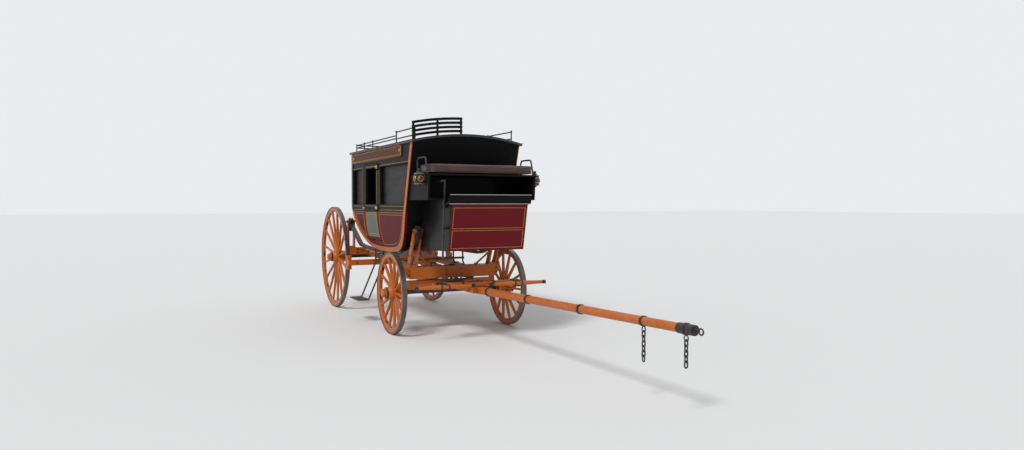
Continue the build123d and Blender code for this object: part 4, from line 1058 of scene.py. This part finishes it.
def makeNameBoards():
    spec = nameBoards
    (x0, x1), (low, high) = spec["x"], spec["z"]
    lines = []
    rosettes = bmesh.new()
    for side in (1, -1):
        y = side * spec["y"]
        for inset in spec["insets"]:
            corners = rectangle(x0 + inset, x1 - inset, low + inset, high - inset)
            lines.append(([at(x, y, z) for x, z in corners], True))
        for x in (x0 + spec["rosetteInset"], x1 - spec["rosetteInset"]):
            addSpun(rosettes, spec["rosette"], at(x, y, (low + high) / 2), Vector((0, side, 0)), steps=20)
    beadPiece("boardLines", lines, bodyLines["goldR"], "brass", material=goldPaint)
    weld(rosettes)
    addPiece("boardRosettes", rosettes, "brass", material=goldPaint)


bootTrim = {
    "bottom": (1.052, 1.062), "top": (1.168, 1.600), "half": 0.478, "inset": 0.030, "midZ": 1.305,
    "midGap": 0.012, "topInset": 0.05, "lipHalf": 0.511, "goldR": 0.0028, "edgeR": 0.005, "bolts": 5,
    "boltInset": 0.013, "boltRise": 0.06, "boltStep": 0.105,
}


def makeBootTrim():
    spec = bootTrim
    (x0, z0), (x1, z1) = spec["bottom"], spec["top"]
    slope = (x1 - x0) / (z1 - z0)

    def onFront(y, z):
        return at(x0 + (z - z0) * slope + 0.0008, y, z)

    half, lip = spec["half"] - spec["inset"], spec["lipHalf"]
    gold = [([onFront(y, z) for y, z in rectangle(-half, half, low, high)], True)
            for low, high in ((z0 + spec["inset"], spec["midZ"] - spec["midGap"]),
                              (spec["midZ"] + spec["midGap"], z1 - spec["topInset"]))]
    beadPiece("bootLines", gold, spec["goldR"], "brass", material=goldPaint)
    low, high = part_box("footboard")
    steel = [([Vector((high.x - 0.006, y, high.z + 0.001)) for y in (-lip, lip)], False),
             ([at(x1 + 0.0045, y, z1 - 0.004) for y in (-lip, lip)], False)]
    beadPiece("footboardEdging", steel, spec["edgeR"], "iron", material=paleSteel)
    bolts = bmesh.new()
    for side in (1, -1):
        for i in range(spec["bolts"]):
            place = onFront(side * (spec["half"] - spec["boltInset"]), z0 + spec["boltRise"] + i * spec["boltStep"])
            addBolt(bolts, place, Vector((1, 0, -slope)), "board")
    addPiece("bootBolts", bolts, "iron")


roofTrim = {
    "overhang": 0.026, "tackStep": 0.055, "tackInset": 0.02, "tackSpare": 0.06,
    "tack": ((0.0, -0.002), (0.0055, -0.002), (0.0044, 0.0015), (0.0, 0.0025)), "tackDrop": 0.013,
    "seams": (-1.45, -0.80, -0.15), "seamHalf": 0.715, "seamWidth": 0.035, "seamThick": 0.0018,
    "edgeHalf": 0.722, "edgeR": 0.0042,
}


def makeRoofTrim():
    spec = roofTrim
    low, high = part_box("roof")
    rearX, frontX = low.x - axleX, high.x - axleX
    half, inset = coach["cabinHalf"] + spec["overhang"], spec["tackInset"]
    tacks = bmesh.new()
    run = frontX - rearX - spec["tackSpare"]
    count = int(run / spec["tackStep"])
    for side in (1, -1):
        for i in range(count + 1):
            place = at(rearX + inset + i * run / count, side * half, roofZ(half) - spec["tackDrop"])
            addSpun(tacks, spec["tack"], place, Vector((0, side, 0)), steps=8)
    for y in spaced(-half + inset, half - inset, int(2 * (half - inset) / spec["tackStep"]) + 1):
        addSpun(tacks, spec["tack"], at(rearX, y, roofZ(y) - spec["tackDrop"]), -ahead, steps=8)
    weld(tacks)
    addPiece("roofTacks", tacks, "brass")
    seams = bmesh.new()
    for x in spec["seams"]:
        route = [at(x, y, roofZ(y)) for y in spaced(-spec["seamHalf"], spec["seamHalf"], 49)]
        addStrap(seams, route, ahead, spec["seamWidth"], spec["seamThick"], lift=-0.0003)
    addPiece("canvasSeams", seams, "canvas")
    edge = half - 0.001
    lines = [[at(x, y, roofZ(y) + 0.001) for x in (rearX + 0.008, frontX - 0.012)] for y in (edge, -edge)]
    lines.append([at(rearX + 0.004, y, roofZ(y) + 0.001) for y in spaced(-spec["edgeHalf"], spec["edgeHalf"], 49)])
    beadPiece("roofEdgeBead", [(line, False) for line in lines], spec["edgeR"], "dark_paint")


lampTrim = {
    "x": 0.850, "y": 0.746, "z": 1.880, "half": 0.042, "bezel": 0.008,
    "ring": ((0.0255, 0.0), (0.0335, 0.0), (0.0345, 0.003), (0.0320, 0.0065), (0.0275, 0.0055)),
    "lens": ((0.0, 0.0), (0.026, 0.0), (0.024, 0.0035), (0.016, 0.0085), (0.008, 0.0105), (0.0, 0.011)),
    "rimRise": 0.059, "rimHalf": 0.0445, "rimWire": 0.006,
}


def makeLampTrim():
    spec = lampTrim
    rings, lenses = bmesh.new(), bmesh.new()
    face, rim = spec["half"] + spec["bezel"], spec["rimHalf"]
    for side in (1, -1):
        for place, axis in ((at(spec["x"] + face, side * spec["y"], spec["z"]), ahead),
                            (at(spec["x"], side * (spec["y"] + face), spec["z"]), Vector((0, side, 0)))):
            addSpun(rings, spec["ring"], place, axis, steps=32)
            addSpun(lenses, spec["lens"], place, axis, steps=32)
        for rise in (spec["rimRise"], -spec["rimRise"]):
            corners = [at(spec["x"] + x, side * (spec["y"] + y), spec["z"] + rise)
                       for x, y in rectangle(-rim, rim, -rim, rim)]
            for start, end in zip(corners, corners[1:] + corners[:1]):
                addBar(rings, start, end, spec["rimWire"], spec["rimWire"])
    weld(rings)
    weld(lenses)
    addPiece("lampRings", rings, "brass")
    addPiece("lampLenses", lenses, "brass", material=lampGlass)


# Wheels

wheelTrim = {
    "rear": {"spokes": 16, "dish": 0.046}, "front": {"spokes": 14, "dish": 0.038}, "tyreThick": 0.014,
    "felloe": 0.058, "felloeHalf": 0.025, "joint": (0.070, 0.026, 0.005), "jointBolts": 0.022,
    "rivetShare": 0.22, "naveOuter": 0.118, "naveBoltR": 0.058, "bands": ((0.094, 0.0682), (-0.138, 0.0742)),
    "bandWidth": 0.022, "stripe": (0.00256, 0.0007), "stripeInset": (0.014, 0.008),
}


def around(angle):
    return Vector((math.sin(angle), 0, math.cos(angle)))


def makeWheelTrim(end, sideName, side):
    spec = wheelTrim
    count, dish = spec[end]["spokes"], spec[end]["dish"]
    body = end + "_" + sideName.lower() + "_wheel"
    turn = next(joint for joint in frame["joints"] if joint["name"] == body + "_turn")
    hub = Vector((turn["pos_m"][0], middle(body + "_tyre").y, turn["pos_m"][2]))
    inner = hub.z - spec["tyreThick"] - spec["felloe"]
    outward = Vector((0, side, 0))
    irons, stripes = bmesh.new(), bmesh.new()
    for i in range(count):
        # a nut at each spoke, or at every second one a plate with two, where two felloes meet
        angle = 2 * math.pi * i / count
        away = around(angle)
        place = hub + away * inner
        if i % 2:
            addBolt(irons, hub + away * (inner - 0.0002), -away, "nut")
        else:
            lie = Matrix.Translation(place + away * 0.0006) @ Matrix.Rotation(angle, 4, "Y")
            bmesh.ops.create_cube(irons, size=1, matrix=lie @ Matrix.Diagonal((*spec["joint"], 1)))
            for shift in (-spec["jointBolts"], spec["jointBolts"]):
                across = Vector((math.cos(angle), 0, -math.sin(angle))) * shift
                addBolt(irons, place - away * 0.0018 + across, -away, "nut")
        away = around(2 * math.pi * (i + spec["rivetShare"]) / count)
        place = hub + away * (inner + spec["felloe"] * 0.5) + outward * spec["felloeHalf"]
        addBolt(irons, place, outward, "rivet")
    seat = hub - outward * dish
    for reach, bandR in spec["bands"]:
        near, far, rim, width = bandR - 0.003, bandR + 0.003, bandR + 0.004, spec["bandWidth"]
        ring = [(near, 0), (far, 0), (rim, 0.002), (rim, width - 0.002), (far, width), (near, width)]
        addSpun(irons, ring, seat + outward * reach, outward, steps=64)
    for i in range(4):
        away = around(math.pi / 4 + i * math.pi / 2)
        place = seat + outward * (spec["naveOuter"] + 0.0002) + away * spec["naveBoltR"]
        addBolt(irons, place, outward, "nave")
    weld(irons)
    addPiece(body + "Irons", irons, "iron", body)
    (wide, thick), (low, high) = spec["stripe"], spec["stripeInset"]
    for away in (inner + low, inner + spec["felloe"] - high):
        ring = [(away, 0.0), (away + wide, 0.0), (away + wide, thick), (away, thick)]
        addSpun(stripes, ring, hub + outward * (spec["felloeHalf"] - 0.0002), outward, steps=96)
    addPiece(body + "Stripes", stripes, "dark_paint", body, stripePaint)


# Ironwork on the running gear

gearIrons = {
    "transomY": (0.10, 0.595), "bedY": (-0.62, -0.45, -0.16, 0.16, 0.45, 0.62),
    "perchY": (-0.330, 0.0, 0.330), "perchWidth": 0.060, "perchZ": (0.855, 0.739), "perchTop": 0.0375,
    "strapX": (-2.45, -1.95, -1.25, -0.62, -0.22), "strapDepth": 0.060, "strapWidth": 0.036,
    "strapThick": 0.005, "postSpread": 0.055, "postBolts": (0.08, 0.3, 0.55), "rollerDrop": 0.027,
    "transomInset": 0.045, "bedInset": 0.03, "frontFoot": (0.040, 0.815), "rearFootZ": 0.912,
}


def addClip(form, centre, half, depth, width, thick):
    # a flat iron bent down over a timber, with a nut under each leg
    x, y, z = centre
    addBar(form, Vector((x - width / 2, y, z + thick / 2)), Vector((x + width / 2, y, z + thick / 2)),
           2 * half + 2 * thick, thick)
    for side in (-1, 1):
        leg = y + side * (half + thick / 2)
        addBar(form, Vector((x, leg, z)), Vector((x, leg, z - depth)), thick, width, up=ahead)
        addBolt(form, Vector((x, y + side * (half + thick), z - depth * 0.5)), Vector((0, side, 0)), "clip")


def makeGearIrons():
    spec = gearIrons
    form = bmesh.new()
    low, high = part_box("front_transom")
    for side in (-1, 1):
        for y in spec["transomY"]:
            for z in (low.z + spec["transomInset"], high.z - spec["transomInset"]):
                addBolt(form, Vector((high.x, side * y, z)), ahead, "timber")
                addBolt(form, Vector((low.x, side * y, z)), -ahead, "timber")
    low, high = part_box("rear_axle_bed")
    bed = surfaceTree(nodes["rear_axle_bed"])
    for y in spec["bedY"]:
        for z in (low.z + spec["bedInset"], high.z - spec["bedInset"]):
            addBoltOn(form, bed, Vector((low.x, y, z)), -ahead, "timber")
            addBoltOn(form, bed, Vector((high.x, y, z)), ahead, "timber")
    rearZ, frontZ = spec["perchZ"]
    slope = (frontZ - rearZ) / coach["wheelbase"]
    for y in spec["perchY"]:
        for x in spec["strapX"]:
            z = rearZ + slope * (x + coach["wheelbase"]) + spec["perchTop"]
            addClip(form, at(x, y, z), spec["perchWidth"] / 2, spec["strapDepth"], spec["strapWidth"],
                    spec["strapThick"])
    front, rear, (footX, footZ) = coach["frontStandard"], -coach["wheelbase"], spec["frontFoot"]
    for end, foot, top, topZ, baseZ in (("front", footX, front["x"], front["top"], footZ),
                                        ("rear", rear, rear, coach["rearStandardTop"], spec["rearFootZ"])):
        posts = surfaceTree(nodes[end + "_standards"])
        for side in (1, -1):
            for direction in (1, -1):
                outward = Vector((0, side * direction, 0))
                y = side * (coach["braceY"] + direction * spec["postSpread"])
                addBoltOn(form, posts, at(top, y, topZ - spec["rollerDrop"]), outward, "roller")
                for share in spec["postBolts"]:
                    place = at(foot + (top - foot) * share, y, baseZ + (topZ - baseZ) * share)
                    addBoltOn(form, posts, place, outward, "post")
    addPiece("coachBolts", form, "iron")


draughtIrons = {
    "plateHalf": 0.075, "plate": (0.056, 0.006), "band": (0.030, 0.004), "bandY": 0.20, "houndX": (0.30, 0.55),
    "houndY": 0.0703, "treeHalf": 0.370, "treeR": 0.029, "tipR": 0.01798, "ferruleR": 0.01914, "ferrule": 0.045,
    "ringY": 0.045, "ringHalf": 0.011, "hookR": 0.016, "hookTurn": 2.6, "hookWire": 0.0045,
}


def makeDraughtIrons():
    spec = draughtIrons
    low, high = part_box("evener")
    form = bmesh.new()
    top = Vector(((low.x + high.x) / 2, 0, high.z))
    addBar(form, top + Vector((0, -spec["plateHalf"], 0.003)), top + Vector((0, spec["plateHalf"], 0.003)),
           *spec["plate"])
    addBolt(form, top + upward * 0.006, upward, "pin")
    for side in (-1, 1):
        addBolt(form, top + Vector((0, side * 0.055, 0.006)), upward, "plate")
        for y in (side * spec["bandY"], side * (-low.y - 0.035)):
            for z in (high.z + 0.002, low.z - 0.002):
                addBar(form, Vector((low.x - 0.002, y, z)), Vector((high.x + 0.002, y, z)), *spec["band"])
            for x in (low.x - 0.002, high.x + 0.002):
                addBar(form, Vector((x, y, low.z)), Vector((x, y, high.z)), *spec["band"], up=ahead)
    hounds = surfaceTree(nodes["hounds"])
    for side in (-1, 1):
        for x in spec["houndX"]:
            place = at(x, side * spec["houndY"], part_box("hounds")[1].z)
            addBoltOn(form, hounds, place, upward, "hound")
    addPiece("evenerBands", form, "iron", "front_carriage")
    tipR, ringR, back, turn = spec["tipR"], spec["ferruleR"], -spec["ferrule"], spec["hookTurn"]
    half, treeR = spec["ringHalf"], spec["treeR"]
    ferrule = [(0.0, 0.003), (tipR + 0.001, 0.002), (tipR + 0.003, -0.002), (ringR + 0.004, back),
               (ringR + 0.001, back), (0.0, back + 0.004)]
    ring = [(treeR - 0.003, -half), (treeR + 0.0025, -half), (treeR + 0.0025, half), (treeR - 0.003, half)]
    curl = [Vector((1 - math.cos(t), 0, math.sin(t))) * spec["hookR"] for t in spaced(-turn, turn, 21)]
    for sideName, side in sides:
        body = "singletree_" + sideName.lower()
        centre = middle(body)
        form = bmesh.new()
        hooks = []
        for end in (-1, 1):
            tip = centre + Vector((0, end * spec["treeHalf"], 0))
            addSpun(form, ferrule, tip, Vector((0, end, 0)), steps=28)
            hook = tip + Vector((ringR + 0.002, -end * 0.020, 0))
            hooks.append(([hook + place for place in curl], False))
        for shift in (-spec["ringY"], spec["ringY"]):
            addSpun(form, ring, centre + leftward * shift, leftward, steps=32)
        weld(form)
        addPiece(body + "Ferrules", form, "iron", body)
        beadPiece(body + "Hooks", hooks, spec["hookWire"], "iron", body)


poleTrim = {
    "x": (0.980, 4.580), "z": (0.5835, 0.672), "half": (0.046, 0.036), "bands": (1.12, 2.05, 3.05),
    "bandHalf": 0.015, "bandThick": 0.006,
}


def makePoleTrim():
    # bands round the pole, which rises and tapers towards its tip
    spec = poleTrim
    long = spec["bandHalf"]
    form = bmesh.new()
    for x in spec["bands"]:
        share = (x - spec["x"][0]) / (spec["x"][1] - spec["x"][0])
        z, half = (start + share * (end - start) for start, end in (spec["z"], spec["half"]))
        outer = half + spec["bandThick"]
        ring = [(half * 0.86, -long), (outer, -long), (outer, long), (half * 0.86, long)]
        addSpun(form, ring, at(x, 0, z), Vector((1, 0, 0.0246)), steps=40)
    weld(form)
    addPiece("poleBands", form, "iron", "front_carriage")


stepTrim = {
    "middleX": -1.150, "half": 0.200, "innerY": 0.790, "outerY": 0.950, "top": 0.314, "ribs": 7,
    "rib": (0.007, 0.004), "ribInset": (0.012, 0.014), "boltInset": 0.030,
}


def makeStepTrim():
    spec = stepTrim
    x, half, top, inner, outer = (spec[key] for key in ("middleX", "half", "top", "innerY", "outerY"))
    (endInset, edge), inset = spec["ribInset"], spec["boltInset"]
    form = bmesh.new()
    for side in (1, -1):
        for y in spaced(inner + edge, outer - edge, spec["ribs"]):
            start, end = (at(along, side * y, top + 0.001) for along in (x - half + endInset, x + half - endInset))
            addBar(form, start, end, *spec["rib"])
        for shift in (inset - half, half - inset):
            for y in (inner + inset, outer - inset):
                addBolt(form, at(x + shift, side * y, top + 0.0025), upward, "board")
    addPiece("stepTreads", form, "iron")


brakeBolts = (-0.70, -0.33, 0.0, 0.33, 0.70)


def makeBrakeTrim():
    low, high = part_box("brake_beam")
    form = bmesh.new()
    for y in brakeBolts:
        addBolt(form, Vector((high.x, y, (low.z + high.z) / 2)), ahead, "brake")
    addPiece("brakeBolts", form, "iron")


seatTrim = {
    "posts": (-0.675, -0.370, -0.065), "rises": (0.042, 0.092, 0.142, 0.192),
}


def makeSeatTrim():
    form = bmesh.new()
    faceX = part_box("seat_back")[1].x
    for y in seatTrim["posts"]:
        for rise in seatTrim["rises"]:
            addBolt(form, Vector((faceX, y, roofZ(y) + rise)), ahead, "slat")
    addPiece("seatBackRivets", form, "iron")


# The camera stands where the photograph was taken

photo = {
    "place": (8.1835, -3.663, 1.597), "forward": (-0.8876, 0.4605), "pitchDown": 1.64, "focal": 26.05,
    "sensor": 36.0,
}


def makeCamera():
    camera = bpy.data.cameras.new("View")
    camera.lens = photo["focal"]
    camera.sensor_width = photo["sensor"]
    camera.sensor_fit = "HORIZONTAL"
    camera.clip_end = 200
    thing = bpy.data.objects.new("View", camera)
    bpy.context.scene.collection.objects.link(thing)
    forward = Vector((*photo["forward"], 0)).normalized()
    forward.z = -math.tan(math.radians(photo["pitchDown"]))
    thing.rotation_euler = forward.to_track_quat("-Z", "Y").to_euler()
    thing.location = photo["place"]
    bpy.context.scene.camera = thing


stage = {
    "floorColour": (0.80, 0.80, 0.79, 1), "floorSize": 120.0, "skyColour": (0.95, 0.97, 1.0, 1),
    "worldStrength": 0.55, "seenStrength": 0.86, "sunStrength": 1.75, "sunSoftness": 14.0,
    "sunFrom": (0.42, -0.62, 0.80),
}


def makeStage():
    form = bmesh.new()
    bmesh.ops.create_grid(form, x_segments=1, y_segments=1, size=stage["floorSize"])
    mesh = bpy.data.meshes.new("Floor")
    form.to_mesh(mesh)
    form.free()
    floor = bpy.data.objects.new("Floor", mesh)
    floor.location.z = -0.002
    bpy.context.scene.collection.objects.link(floor)
    material = bpy.data.materials.new("Pale floor")
    material.use_nodes = True
    shader = material.node_tree.nodes["Principled BSDF"]
    feed(shader, {"Base Color": stage["floorColour"], "Roughness": 0.9})
    mesh.materials.append(material)
    world = bpy.data.worlds.new("Studio")
    world.use_nodes = True
    background = world.node_tree.nodes["Background"]
    # the eye, polish and glass see the pale background, which lights the coach less than it shows
    path = addNode(background, "LightPath").outputs
    seen = addMath("MAXIMUM", path["Is Camera Ray"], path["Is Glossy Ray"])
    seen = addMath("MAXIMUM", seen, path["Is Transmission Ray"])
    strength = addRange(seen, 0.0, 1.0, stage["worldStrength"], stage["seenStrength"])
    feed(background, {"Color": stage["skyColour"], "Strength": strength})
    bpy.context.scene.world = world
    sun = bpy.data.lights.new("Sun", "SUN")
    sun.energy = stage["sunStrength"]
    sun.angle = math.radians(stage["sunSoftness"])
    thing = bpy.data.objects.new("Sun", sun)
    thing.rotation_euler = (-Vector(stage["sunFrom"])).to_track_quat("-Z", "Y").to_euler()
    bpy.context.scene.collection.objects.link(thing)
    bpy.context.scene.view_settings.view_transform = "Standard"


makeCamera()
makeStage()
print("camera, lights and floor made")

makeDriverCushion()
makeBenchPads()
makeLeatherBoot()
makeCurtains()
makeBraces()
print("leather goods made")
makeBodyLines()
makeNameBoards()
makeBootTrim()
makeRoofTrim()
makeLampTrim()
print("body, boot, roof and lamps trimmed")
for end in ("rear", "front"):
    for sideName, side in sides:
        makeWheelTrim(end, sideName, side)
makeGearIrons()
makeDraughtIrons()
makePoleTrim()
makeStepTrim()
makeBrakeTrim()
makeSeatTrim()
print("wheels and running gear trimmed")
